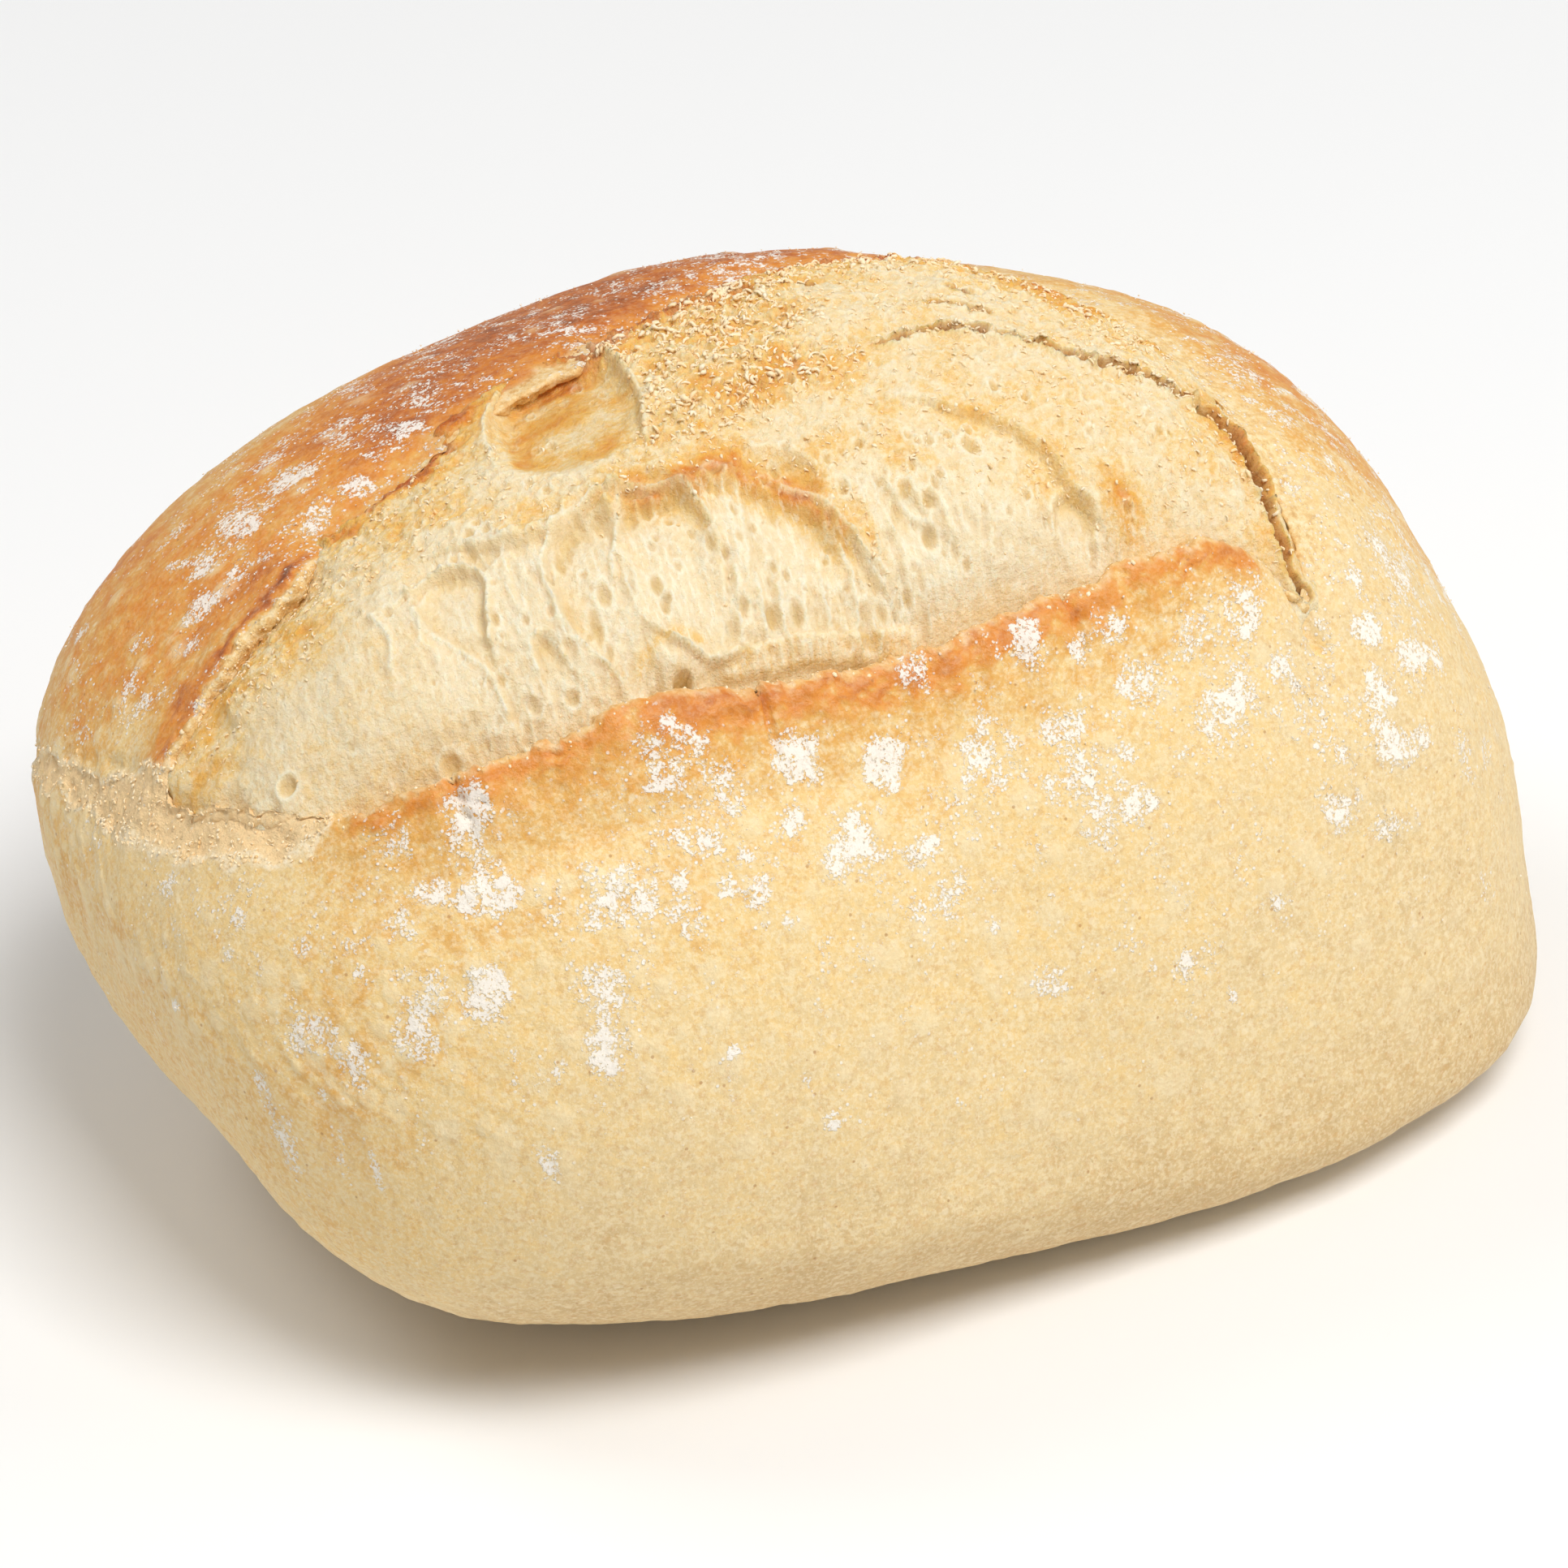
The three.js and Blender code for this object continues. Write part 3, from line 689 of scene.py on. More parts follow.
# %% The crumb's patch in plan
CRUMB_COLUMNS, CRUMB_ROWS = 462, 208
TUCK = 3  # rows all round that turn down
FRONT_LEFT, FRONT_RIGHT, BACK_RIGHT, BACK_LEFT = (-44, -8), (31, -26.5), (24.5, 7.5), (-42, 0.6)
over_crust = ramp(-33, -25, EDGE_LINE[:, 0]) * ramp(-13, -4, EDGE_LINE[:, 1])
over_crust = smooth_round(over_crust[:, None], 0.01)[:, 0]
border_out = 0.9 + 1.1 * over_crust
outer_line = EDGE_LINE - smooth_round(inward_of(EDGE_LINE), 0.006) * border_out[:, None]


def corner_index(corner):
    """The step of the edge line nearest to a corner."""
    return int(np.argmin(np.linalg.norm(EDGE_LINE - np.array(corner), axis=1)))


def stretch_of_edge(start, end):
    """The outer line's points from one corner to another, the way it runs."""
    first, last = corner_index(start), corner_index(end)
    if last <= first:
        last += len(outer_line) - 1
    return outer_line[np.arange(first, last + 1) % (len(outer_line) - 1)]


front_side = stretch_of_edge(FRONT_LEFT, FRONT_RIGHT)
right_side = stretch_of_edge(FRONT_RIGHT, BACK_RIGHT)
back_side = stretch_of_edge(BACK_RIGHT, BACK_LEFT)[::-1]
left_side = stretch_of_edge(BACK_LEFT, FRONT_LEFT)[::-1]
u = np.linspace(0, 1, CRUMB_COLUMNS - 2 * TUCK + 1)
w = np.linspace(0, 1, CRUMB_ROWS - 2 * TUCK + 1)
front_at, back_at = along(front_side, u)[None], along(back_side, u)[None]
left_at, right_at = along(left_side, w)[:, None], along(right_side, w)[:, None]
U, W = u[None, :, None], w[:, None, None]
low_ends = (1 - U) * (1 - W) * front_at[:, :1] + U * (1 - W) * front_at[:, -1:]
high_ends = (1 - U) * W * back_at[:, :1] + U * W * back_at[:, -1:]
patch = (1 - W) * front_at + W * back_at + (1 - U) * left_at + U * right_at - low_ends - high_ends
px, py = patch[..., 0], patch[..., 1]
to_edge, edge_side = line_distance(px, py, OPENING, closed=True)
inward = to_edge * edge_side
print("crumb patch", patch.shape, "inward", inward.min().round(1), "to", inward.max().round(1))

# %% [markdown]
# The crumb tore in two stages. High up, against the back, it dried into golden grain. Below that
# a toasted crest runs across, and under the crest the crumb is pale and pulled into strands, with
# burst bubbles whose thin walls still stand as webs. The large forms come first.

# %% The large forms of the crumb
CREST = [
    (-22.4, -8.0), (-19.2, -9.7), (-15.6, -10.2), (-12.8, -10.6), (-10.6, -11.2), (-7.9, -11.8),
    (-5.4, -12.3), (-3.6, -13.6), (-2.2, -15.4), (-1.0, -17.4), (-0.2, -19.0)]
CREST_BRANCH = [(-8.3, -12.3), (-8.4, -13.7), (-8.7, -15.2), (-8.7, -16.6)]
CREASE = [(11.2, -12.8), (13.7, -14.6), (15.6, -17.4), (16.8, -20.8)]
WINDOW_HALF = 8.0
BUBBLES = [  # middle, half sizes, turn in degrees, depth, and the way to the steep wall in degrees
    (-17.2, -14.2, 5.9, 2.4, 64, 1.0, 120), (-12.0, -15.6, 6.6, 2.9, 78, 0.9, 95),
    (-3.8, -16.6, 5.6, 3.4, 74, 0.9, 80), (-26.1, -12.0, 3.5, 2.2, 68, 0.75, 110),
    (-22.6, -18.2, 1.7, 0.8, 75, 0.45, 100), (4.3, -19.6, 1.9, 1.3, 75, 0.6, 110),
    (15.6, -22.4, 2.0, 1.5, 60, 0.8, 60), (-11.4, 0.7, WINDOW_HALF, 5.2, 72, 1.7, 115),
    (2.2, -20.6, 1.3, 0.8, 70, 0.5, 100)]
SWELLS = [  # middle, reach and rise
    (-33, -8, 8, 1.0), (8.5, -19.5, 5.5, 0.6), (23, -17, 7, 0.7), (4, 3, 8, 0.8), (18, 2, 8, 0.5)]

front_here = ramp(33, 27, px) * ramp(-43, -36, px) * ramp(-6, -14, py)
ear_here = ear_share(px, py)
window_here = window_share(px, py)
right_edge = ramp(25, 29, px) * ramp(-27, -24, py)
free_edge = np.maximum(ramp(-33, -25, px) * ramp(-13, -4, py), right_edge) * (1 - window_here)
at_lip = (0.5 + 2.9 * front_here * (1 - 0.55 * ramp(12, 24, px))) * np.exp(-np.maximum(inward, 0) / 2.6)
relief = 0.5 + 0.8 * ramp(0, 14, inward) - at_lip - 0.9 * ear_here * ramp(6.5, 2.2, inward)
relief -= (1.1 + 0.35 * flat_fractal(px, py, 1.6, 3, 59.0)) * ramp(1.2, -1.2, inward) * free_edge
for x, y, reach, rise_here in SWELLS:
    relief += rise_here * bell(np.hypot(px - x, py - y), reach)

wander = flat_fractal(px, py, 3.0, 3, 61.0)
crest_away, crest_side = line_distance(px, py, CREST)
under_crest = (crest_side < 0) * np.exp(-crest_away / 3.5) * ramp(0.1, 0.9, crest_away)
relief += 0.75 * bell(crest_away - 0.1, 0.55) * (0.75 + 0.6 * wander) - 0.5 * under_crest
crease_away, crease_side = line_distance(px, py, CREASE)
under_crease = 0.75 * (crease_side < 0) * np.exp(-crease_away / 2.2) * ramp(0.0, 0.6, crease_away)
relief += 0.30 * bell(crease_away, 0.4) - under_crease
branch_away, _ = line_distance(px, py, CREST_BRANCH)
relief += 0.45 * bell(branch_away, 0.4)
corner = ramp(-40.0, -42.0, px + 0.6 * wander)
print("without bubbles", relief.min().round(2), "to", relief.max().round(2), "mm")

# %% [markdown]
# A bubble is a dent with a steep wall on one side. Where it burst, its skin stays as a thin raised
# rim. The largest is the window at the back, shallow and glassy, under a flap of skin that folded
# back over it. Its floor stays calm, so the finer relief keeps off it.

# %% Burst bubbles
BOX_POWER = 2.4
calm = np.zeros(px.shape)
rim = np.zeros(px.shape)
for x, y, long_half, cross_half, turn, depth, steep in BUBBLES:
    is_window = long_half == WINDOW_HALF
    turn_cos, turn_sin = math.cos(math.radians(turn)), math.sin(math.radians(turn))
    dx, dy = px - x + 0.35 * wander, py - y - 0.25 * wander
    along_it = (dx * turn_cos + dy * turn_sin) / long_half
    across_it = (dy * turn_cos - dx * turn_sin) / cross_half
    round_off = (np.abs(along_it) ** BOX_POWER + np.abs(across_it) ** BOX_POWER) ** (1 / BOX_POWER)
    slope = (dx * math.cos(math.radians(steep)) + dy * math.sin(math.radians(steep))) / long_half
    steepness = 0.55 + 0.45 * slope.clip(-1, 1)
    relief -= depth * (ramp(1.04, 0.72, round_off) * steepness)
    rim = np.maximum(rim, bell(round_off - 1.06, 0.08) * steepness * (0.3 if is_window else depth))
    calm = np.maximum(calm, ramp(1.0, 0.8, round_off) * (0.9 if is_window else 0.35))
    if is_window:
        # The window's amber, deeper towards its steep wall as painted shade
        amber_and_shade = ramp(1.06, 0.80, round_off) * (0.82 + 0.18 * slope.clip(-1, 1))
        window_round = round_off
relief += 0.35 * rim * (0.7 + 0.6 * wander)
print("large forms", relief.min().round(2), "to", relief.max().round(2), "mm")

# %% [markdown]
# Webs are the thin walls between bubbles, left standing as fine ridges with a hollow on one side.
# Each is a short path with its height, its width and how deep the hollow beside it drops. A ledge
# of crumb lies along the foot of the pale part, with a small tent of skin at its left end.

# %% Webs, ledge and tent
WEBS = [  # height, width, drop beside it (to the left of the path, or to the right if negative), path
    (0.50, 0.24, 1.0, [
        (-12.5, -9.5), (-13.6, -9.2), (-15.1, -9.4), (-16.7, -10.0), (-18.2, -10.7), (-19.6, -12.0),
        (-20.3, -14.0), (-20.5, -16.0), (-20.5, -17.8), (-20.0, -19.5), (-19.4, -20.6)]),
    (0.45, 0.24, 0.5, [(-12.5, -9.8), (-13.3, -11.3), (-15.0, -13.5), (-16.1, -15.4)]),
    (0.50, 0.24, -0.9, [
        (-12.1, -9.6), (-11.1, -10.1), (-9.9, -10.9), (-8.9, -11.8), (-8.5, -13.1), (-8.5, -14.7)]),
    (0.50, 0.22, 0.3, [(-5.3, -13.0), (-5.9, -14.8), (-6.9, -17.1), (-7.5, -18.4)]),
    (0.45, 0.20, -0.4, [(-8.6, -18.4), (-9.4, -20.4), (-10.3, -22.4)]),
    (0.38, 0.20, 0.3, [(-7.4, -19.2), (-8.0, -21.2), (-8.6, -22.8)]),
    (0.38, 0.20, -0.3, [(-6.2, -20.2), (-6.8, -21.8), (-7.2, -23.0)]),
    (0.38, 0.20, 0.3, [(-4.6, -20.4), (-5.2, -22.0), (-5.5, -23.4)]),
    (0.35, 0.20, 0.3, [(-3.2, -20.8), (-3.6, -22.2), (-3.9, -23.6)]),
    (0.40, 0.24, -0.7, [(-2.6, -14.2), (-1.2, -15.6), (-0.4, -17.4), (0.2, -19.4), (0.6, -22.0)]),
    (0.45, 0.24, -0.8, [
        (-27.8, -8.6), (-26.2, -8.2), (-24.6, -8.6), (-23.6, -9.6), (-23.5, -11.2), (-24.3, -12.9),
        (-25.3, -15.0)]),
    (0.42, 0.26, 0.7, [(-27.8, -8.6), (-28.3, -11.0), (-27.6, -13.8), (-26.6, -16.4), (-26.7, -19.4)]),
    (0.32, 0.20, -0.6, [(-23.7, -18.6), (-23.2, -16.6), (-22.2, -16.8), (-21.9, -18.6)]),
    (0.55, 0.24, -0.7, [(-14.7, -20.8), (-13.7, -22.0), (-12.3, -23.0), (-10.9, -22.9)]),
    (0.36, 0.20, 0.4, [(-1.6, -22.4), (-1.0, -20.4), (-1.4, -18.0)]),
    (0.30, 0.20, -0.4, [(4.0, -17.2), (4.6, -19.2), (5.8, -20.6)]),
    (0.26, 0.22, 0.3, [(-31.5, -12.5), (-30.4, -10.8), (-30.6, -8.6)]),
    (0.50, 0.22, -0.7, [(-5.6, 8.6), (-5.5, 4.5), (-6.2, -0.2), (-7.2, -3.3), (-8.5, -6.1)]),
    (0.40, 0.24, 0.7, [(-13.4, 7.4), (-15.2, 5.6), (-16.6, 3.0), (-17.2, 0.4)]),
]
web = np.zeros(px.shape)
pocket = np.zeros(px.shape)
for height, width, drop, path in WEBS:
    away, side = line_distance(px + 0.15 * wander, py, path)
    here = bell(away, width) * (0.8 + 0.5 * wander).clip(0.3, 1.3)
    in_pocket = (side * np.sign(drop) > 0) * ramp(0.0, 0.45, away) * np.exp(-away / 1.5)
    relief += height * here - 0.8 * abs(drop) * in_pocket
    web = np.maximum(web, here)
    pocket = np.maximum(pocket, abs(drop) * in_pocket)

LEDGE = [(-12.2, -23.2), (-9.3, -23.7), (-6.9, -23.9), (-4.6, -24.3), (-2.0, -24.9), (1.0, -25.3)]
LEDGE_RISE, TENT_RISE, TENT_HOLE = 0.75, 1.3, 1.6
ledge_away, _ = line_distance(px, py, LEDGE)
ledge = ramp(1.1, 0.6, ledge_away) * ramp(-13.2, -11.8, px) * ramp(3, 0, px)
relief += LEDGE_RISE * ledge
tent = np.hypot((px + 15.2) / 2.4, (py + 22.0) / 1.7)
relief += TENT_RISE * (1 - tent).clip(0, 1) ** 0.8
tent_hole = ramp(1.1, 0.7, np.hypot((px + 15.3) / 0.75, (py + 23.2) / 0.5))
relief -= TENT_HOLE * tent_hole
print("webs", len(WEBS), "and relief", relief.min().round(2), "to", relief.max().round(2), "mm")

# %% [markdown]
# Fissures are the dark gaps where the crumb parted towards the back and the right. A gap's width
# wanders, so one long line breaks into several short openings with ragged rims. The deeper ones
# have one side lower than the other.

# %% Fissures
DEEP = 0.95
FISSURES = [  # half width, depth, path
    (0.20, 1.1, [(10.4, -5.4), (12.0, -5.3), (14.2, -5.1), (16.4, -5.6), (17.8, -6.4)]),
    (0.20, 1.2, [(18.6, -7.0), (20.6, -8.6), (22.3, -10.3), (23.1, -11.2)]),
    (0.28, 1.4, [(23.8, -11.7), (26.0, -12.7), (28.0, -13.6), (29.2, -14.2)]),
    (0.52, 2.0, [(29.9, -15.2), (30.8, -17.0), (31.1, -19.0), (31.0, -20.8)]),
    (0.30, 1.6, [(30.8, -21.8), (30.5, -23.6), (30.2, -25.4), (30.8, -27.0)]),
    (0.17, 0.8, [(16.4, -0.8), (18.2, -1.8), (19.8, -3.4)]),
    (0.16, 0.7, [(18.8, 0.6), (20.4, -0.4)]),
    (0.22, 0.8, [(5.6, 8.0), (7.2, 7.4), (9.4, 6.8), (11.0, 6.0)]),
    (0.26, 0.8, [(-3.6, 8.6), (-1, 9.4), (1.4, 9.8)]),
    (0.30, 1.0, [(-28.4, 4.2), (-27.2, 4.2)]),
    (0.24, 0.9, [(-26.0, 4.4), (-25.2, 4.5)]),
    (0.26, 0.9, [(-22.4, 5.0), (-21.8, 5.1)]),
]
fissure = np.zeros(px.shape)
fissure_rim = np.zeros(px.shape)
gap_wander = 1 + flat_fractal(px, py, 1.8, 3, 81.0) + 0.6 * flat_fractal(px, py, 0.5, 2, 83.0)
gap_wander = gap_wander.clip(0.15, 2.0)
for half_width, depth, path in FISSURES:
    away, side = line_distance(px + 0.5 * wander, py + 0.5 * wander, path)
    inside = ramp(1.4, 0.6, away / (half_width * gap_wander))
    relief -= depth * inside
    relief += 0.35 * bell(away - 1.6 * half_width, 0.4) * (0.4 + gap_wander) * (depth > DEEP)
    relief -= 0.8 * half_width * np.exp(-away / 1.2) * (side < 0) * (depth > DEEP)
    open_here = gap_wander.clip(0, 1)
    fissure = np.maximum(fissure, np.maximum(inside, 0.7 * bell(away, 1.1 * half_width) * open_here))
    fissure_rim = np.maximum(fissure_rim, bell(away, 2.2 * half_width) * open_here)
print("fissures cover", round(float(fissure.mean()), 3))

# %% [markdown]
# The fine forms follow: strands pulled down the pale torn face, and grain and small open cells in
# the dried part above. Only beside the window is the grain really coarse. Soft masks keep each
# kind of roughness to its own part of the crumb.

# %% Grain and strands
STRAND_TURN = math.radians(76)
STRAND_HEIGHT, GRAIN_HEIGHT, FOAM_HEIGHT = 0.13, 0.05, 0.22
strand_cos, strand_sin = math.cos(STRAND_TURN), math.sin(STRAND_TURN)
down, across = px * strand_cos + py * strand_sin, py * strand_cos - px * strand_sin
strands = 1 - 2.2 * np.abs(flat_fractal(down / 6, across, 0.75, 3, 71.0))
fine_strands = flat_fractal(down / 5, across, 0.34, 2, 73.0)
rough = flat_fractal(px, py, 2.2, 4, 75.0)
grain = flat_fractal(px, py, 0.75, 3, 77.0)
lumps = flat_fractal(px, py, 6.0, 3, 79.0)
curly = 1 - 2 * np.abs(flat_fractal(px, py, 1.0, 3, 87.0))
walls = cell_walls(down / 2.3, across, 0.95, 5.0)
open_cells = cell_walls(px + 0.4 * grain, py + 0.4 * grain, 1.15, 9.0)
upper = ramp(-0.8, 0.8, np.where(crest_side > 0, crest_away, -crest_away) + wander)
upper = np.where(px < -21, ramp(-9.5, -4, py + wander), upper)
upper = np.where(px > 2, ramp(-17, -13, py + 0.4 * px + 2 * wander), upper)
left_bulge = ramp(-27, -32, px)
back_band = ramp(8, 3, inward) * ramp(-2, 6, px) * ramp(-12, -6, py)
beside_window = ramp(10, 4, px) * ramp(-9.5, -7, px) * ramp(-10, -6, py)
coarse = upper * (0.24 + 0.76 * beside_window) + 0.5 * back_band
torn_middle = ramp(9, 1, px) * (1 - 0.5 * ramp(-20, -26, px)) + 0.25
relief += 0.35 * lumps + 0.10 * rough * (1 - calm)
relief += (1 - upper) * (1 - 0.4 * calm) * (1 - 0.6 * left_bulge) * STRAND_HEIGHT * strands * torn_middle
relief += (1 - upper) * 0.05 * fine_strands + (1 - calm) * (GRAIN_HEIGHT + 0.09 * upper) * grain
relief += coarse * (1 - calm) * (0.20 * curly + 0.16 * grain) + upper * (1 - calm) * 0.07 * curly
relief += amber_and_shade * 0.06 * strands
foam = ramp(-0.15, 0.25, flat_fractal(px, py, 3.5, 2, 85.0)) * (1 - calm)
relief += (1 - upper) * foam * (1 - 0.6 * left_bulge) * FOAM_HEIGHT * (walls - 0.45)
relief += upper * (1 - calm) * (0.08 + 0.14 * coarse) * (open_cells - 0.4)
thinned = 0.30 + 0.35 * rough - 0.9 * ramp(1.6, -0.8, inward + 0.6 * wander)
relief = relief * (1 - corner) + thinned * corner
print("coarse crumb covers", round(float((coarse > 0.5).mean()), 3), "of the crumb's points")

# %% [markdown]
# Each pore is an oval pit with a slightly raised rim, drawn out along the strands. A few large
# ones have their own places, and many small ones are drawn with a fixed seed, more of them in the
# pale torn face than in the dried part above it.

# %% Pores
PORE_DEPTH, PORE_RIM = 0.8, 0.16  # shares of the pore's size
PORES = [  # x, y, half width, stretch
    (-11.5, -11.4, 0.45, 2.0), (-10.6, -13.2, 0.35, 1.2), (-9.8, -14.8, 0.3, 1.6), (-9.2, -16.2, 0.35, 2.0),
    (-14.0, -17.4, 0.4, 2.0), (-17.4, -16.4, 0.5, 1.9), (-19.0, -18.0, 0.5, 2.4), (-18.8, -12.6, 0.4, 2.2),
    (-6.4, -11.8, 0.6, 1.1), (-3.3, -13.2, 0.3, 1.5), (-1.7, -19.0, 0.25, 1.3), (-2.2, -19.6, 0.25, 1.3),
    (1.1, -16.0, 0.35, 1.7), (-6.0, -19.0, 0.3, 1.5), (-5.5, -19.8, 0.25, 1.9), (-9.3, -20.6, 0.45, 1.7),
    (-7.6, -21.7, 0.5, 1.7), (-5.9, -22.0, 0.45, 1.8), (-1.2, -23.2, 0.45, 1.6), (0.0, -23.4, 0.35, 1.8),
    (-1.7, -24.5, 0.65, 1.1), (2.0, -23.2, 0.35, 1.7), (5.0, -17.6, 0.5, 1.1), (6.2, -18.8, 0.55, 1.1),
    (8.3, -15.1, 0.4, 1.1), (3.9, -13.6, 0.35, 1.0), (1.2, -13.8, 0.3, 1.6), (-25.0, -20.2, 0.45, 1.2),
    (-22.6, -21.0, 0.5, 1.0), (-20.4, -8.4, 0.4, 1.1), (-22.4, -6.8, 0.45, 1.2), (11.0, -16.2, 0.65, 1.2),
    (9.8, -14.9, 0.4, 1.0), (7.6, -14.9, 0.35, 1.0), (5.0, -20.8, 0.5, 1.5), (-31.6, -19.6, 0.7, 0.9),
    (-40.4, -12.4, 0.6, 1.0), (-37.4, -1.6, 0.5, 1.0), (-28.0, -9.6, 0.3, 1.2), (-30.6, -3.0, 0.3, 1.4)]
SMALL_PORES = 520
picked = rng.choice(px.size, SMALL_PORES * 3, replace=False)
chance = (0.25 + 0.75 * (1 - left_bulge.ravel()[picked])) * (1 - 0.5 * upper.ravel()[picked])
chance *= ramp(0.4, 1.5, inward.ravel()[picked])
picked = picked[rng.random(len(picked)) < chance][:SMALL_PORES]
at_x, at_y = px.ravel(), py.ravel()
small = [(at_x[i], at_y[i], 0.10 + 0.22 * rng.random() ** 2, rng.uniform(1.0, 2.2)) for i in picked]
pore = np.zeros(px.shape)
for x, y, size, stretched in PORES + small:
    near = (np.abs(px - x) < 5 * size) & (np.abs(py - y) < 5 * size)
    if not near.any():
        continue
    dx, dy = px[near] - x, py[near] - y
    along_pore, across_pore = dx * strand_cos + dy * strand_sin, dy * strand_cos - dx * strand_sin
    off = np.hypot(along_pore / (size * stretched), across_pore / size)
    pit = ramp(1.2, 0.3, off)
    relief[near] += PORE_RIM * size * bell(off - 1.3, 0.3) - PORE_DEPTH * size * pit
    pore[near] = np.maximum(pore[near], pit * min(size / 0.3, 1))
    web[near] = np.maximum(web[near], 0.6 * bell(off - 1.3, 0.25) * min(size / 0.3, 1))
print("pores", len(PORES) + len(small), "relief", relief.min().round(2), "to", relief.max().round(2), "mm")

# %% [markdown]
# The crumb's colours need two more measures. One compares the surface with a softened copy of
# itself: what stands out gets a painted highlight, and what lies low gets a yellow painted shade.
# The other is how steep the surface is, and steep walls get the same warm painted shade.

# %% What stands out and what lies low
def softened(grid, reach):
    """A grid averaged over a square of neighbours."""
    window = np.ones(2 * reach + 1) / (2 * reach + 1)
    for axis in (0, 1):
        padded = np.pad(grid, [(reach, reach) if i == axis else (0, 0) for i in (0, 1)], mode="edge")
        grid = np.apply_along_axis(np.convolve, axis, padded, window, "valid")
    return grid


dough_normal = crown_normal(px, py)
surface = crown(px, py) + dough_normal * relief[..., None]
crumb_normals = -grid_normals(surface, closed=False)
crumb_normals *= np.sign(crumb_normals[..., 2:]).mean()
steep = ramp(0.06, 0.45, 1 - (crumb_normals * dough_normal).sum(axis=-1))
stands_out = relief - softened(softened(relief, 3), 3)
stands_out_wide = relief - softened(softened(relief, 8), 8)
hollow_shade = ramp(0.02, 0.30, -stands_out) * 0.6 + ramp(0.10, 0.9, -stands_out_wide) * 0.6
print("steep crumb covers", round(float((steep > 0.5).mean()), 3), "of the crumb's points")

# %% [markdown]
# Toast follows heat, as it does on the crust. The dried part is golden, the crest is amber, and so
# is the back edge, while the pale face below has hardly browned. The rims of the fissures are
# warmer, partly toast and partly painted warm shade. The window's thin skin is the darkest large
# patch, and painted shade deepens it towards its steep wall and along the flap's edge.

# %% How toasted the crumb is, and where shade is painted into it
PALE_TOAST, CREST_TOAST, SPOT_TOAST, BACK_TOAST, WINDOW_TOAST = 0.10, 0.34, 0.42, 0.62, 0.75
warm = flat_fractal(px, py, 4.0, 4, 93.0)
dry_gold = (0.17 - 0.07 * ramp(4, 16, px)) * ramp(-0.25, 0.45, warm)
toast_and_shade = PALE_TOAST + 0.08 * warm + 0.12 * left_bulge + upper * (0.04 + dry_gold)
crest_middle = ramp(-16, -11.3, px) * ramp(0.5, -1.5, px)
toast_and_shade += CREST_TOAST * bell(crest_away + 0.6 * wander, 1.1) * crest_middle * (1 + 0.5 * grain)
toast_and_shade += 0.20 * bell(crest_away - 0.6, 2.4) * ramp(-16, -11, px) * ramp(2, -1, px)
toast_and_shade += 0.24 * bell(branch_away, 0.5)
toast_and_shade += SPOT_TOAST * bell(np.hypot(px - 19.4, (py + 22.6) * 0.75) + 0.5 * wander, 1.8)
toast_and_shade += 0.20 * bell(crease_away, 0.8) + 0.22 * ledge + 0.35 * bell(tent - 0.9, 0.3) * (py > -21.8)
back_edge = ramp(-33, -25, px) * ramp(-13, -4, py) * (1 - amber_and_shade.clip(0, 1))
toast_and_shade += BACK_TOAST * back_edge * ramp(3.2, 0.0, inward) * (0.8 + 0.6 * warm) * ramp(34, 18, px)
toast_and_shade += 0.16 * free_edge * ramp(7, 2, inward) * (0.8 + 0.8 * warm)
toast_and_shade += 0.27 * coarse + 0.08 * upper * (1 - open_cells)
# The fissures' rims, warmer partly from toast and partly as painted warm shade
toast_and_shade += 0.30 * fissure_rim * ramp(-30, -20, px)
# The window's amber, and painted shade in a band along the flap's edge
toast_and_shade = np.maximum(toast_and_shade, amber_and_shade.clip(0, WINDOW_TOAST) * (0.70 + 0.45 * warm))
toast_and_shade = np.maximum(toast_and_shade, amber_and_shade * 0.74 * bell(inward - 0.2, 0.8))
toast_and_shade -= 0.12 * web
# Painted shade in pores, in the pockets beside webs, in the foam's cells and in the tent's hole
pit_shade = np.max([0.42 * pore, 0.16 * pocket, 0.22 * foam * (1 - walls) * (1 - upper)], axis=0)
pit_shade = np.maximum(pit_shade, 0.6 * tent_hole)
# Painted shade in what lies low and on steep walls, and a painted highlight on what stands out
hollow_shade = np.maximum(0.85 * hollow_shade, 0.6 * steep)
proud_highlight = ramp(0.03, 0.28, stands_out) * ramp(0.52, 0.30, toast_and_shade) * (1 - 0.8 * steep)
crumb_values = {
    "toast_and_shade": toast_and_shade.clip(0, 1),
    "pit": pit_shade.clip(0, 1),
    "gap_shade": fissure,
    "torn_face": (1 - upper) * (1 - 0.5 * left_bulge),
    "hollow_shade": hollow_shade.clip(0, 1),
    "proud_highlight": proud_highlight,
    "film": np.maximum(amber_and_shade, 0.3 * calm),
    "web": web * (1 - 0.35 * steep),
}
print("toast_and_shade", toast_and_shade.min().round(2), "to", toast_and_shade.max().round(2))

# %% [markdown]
# The patch now gets its turned-down border, which hides under the lips and closes the body.

# %% The crumb's mesh
TUCK_STEP, TUCK_DEPTH = 1.8, 14.0


def tucked(grid, turn_down):
    """Adds border rows and columns that repeat the border, each lower than the last."""
    for step in range(TUCK):
        grid = np.pad(grid, ((1, 1), (1, 1)) + ((0, 0),) * (grid.ndim - 2), mode="edge")
        if not turn_down:
            continue
        border = np.zeros(grid.shape[:2], bool)
        border[[0, -1]] = True
        border[:, [0, -1]] = True
        if step < TUCK - 1:
            grid[border, 2] -= TUCK_STEP
        else:
            grid[border] = crown(*OPENING_MIDDLE) - [0, 0, TUCK_DEPTH]
    return grid


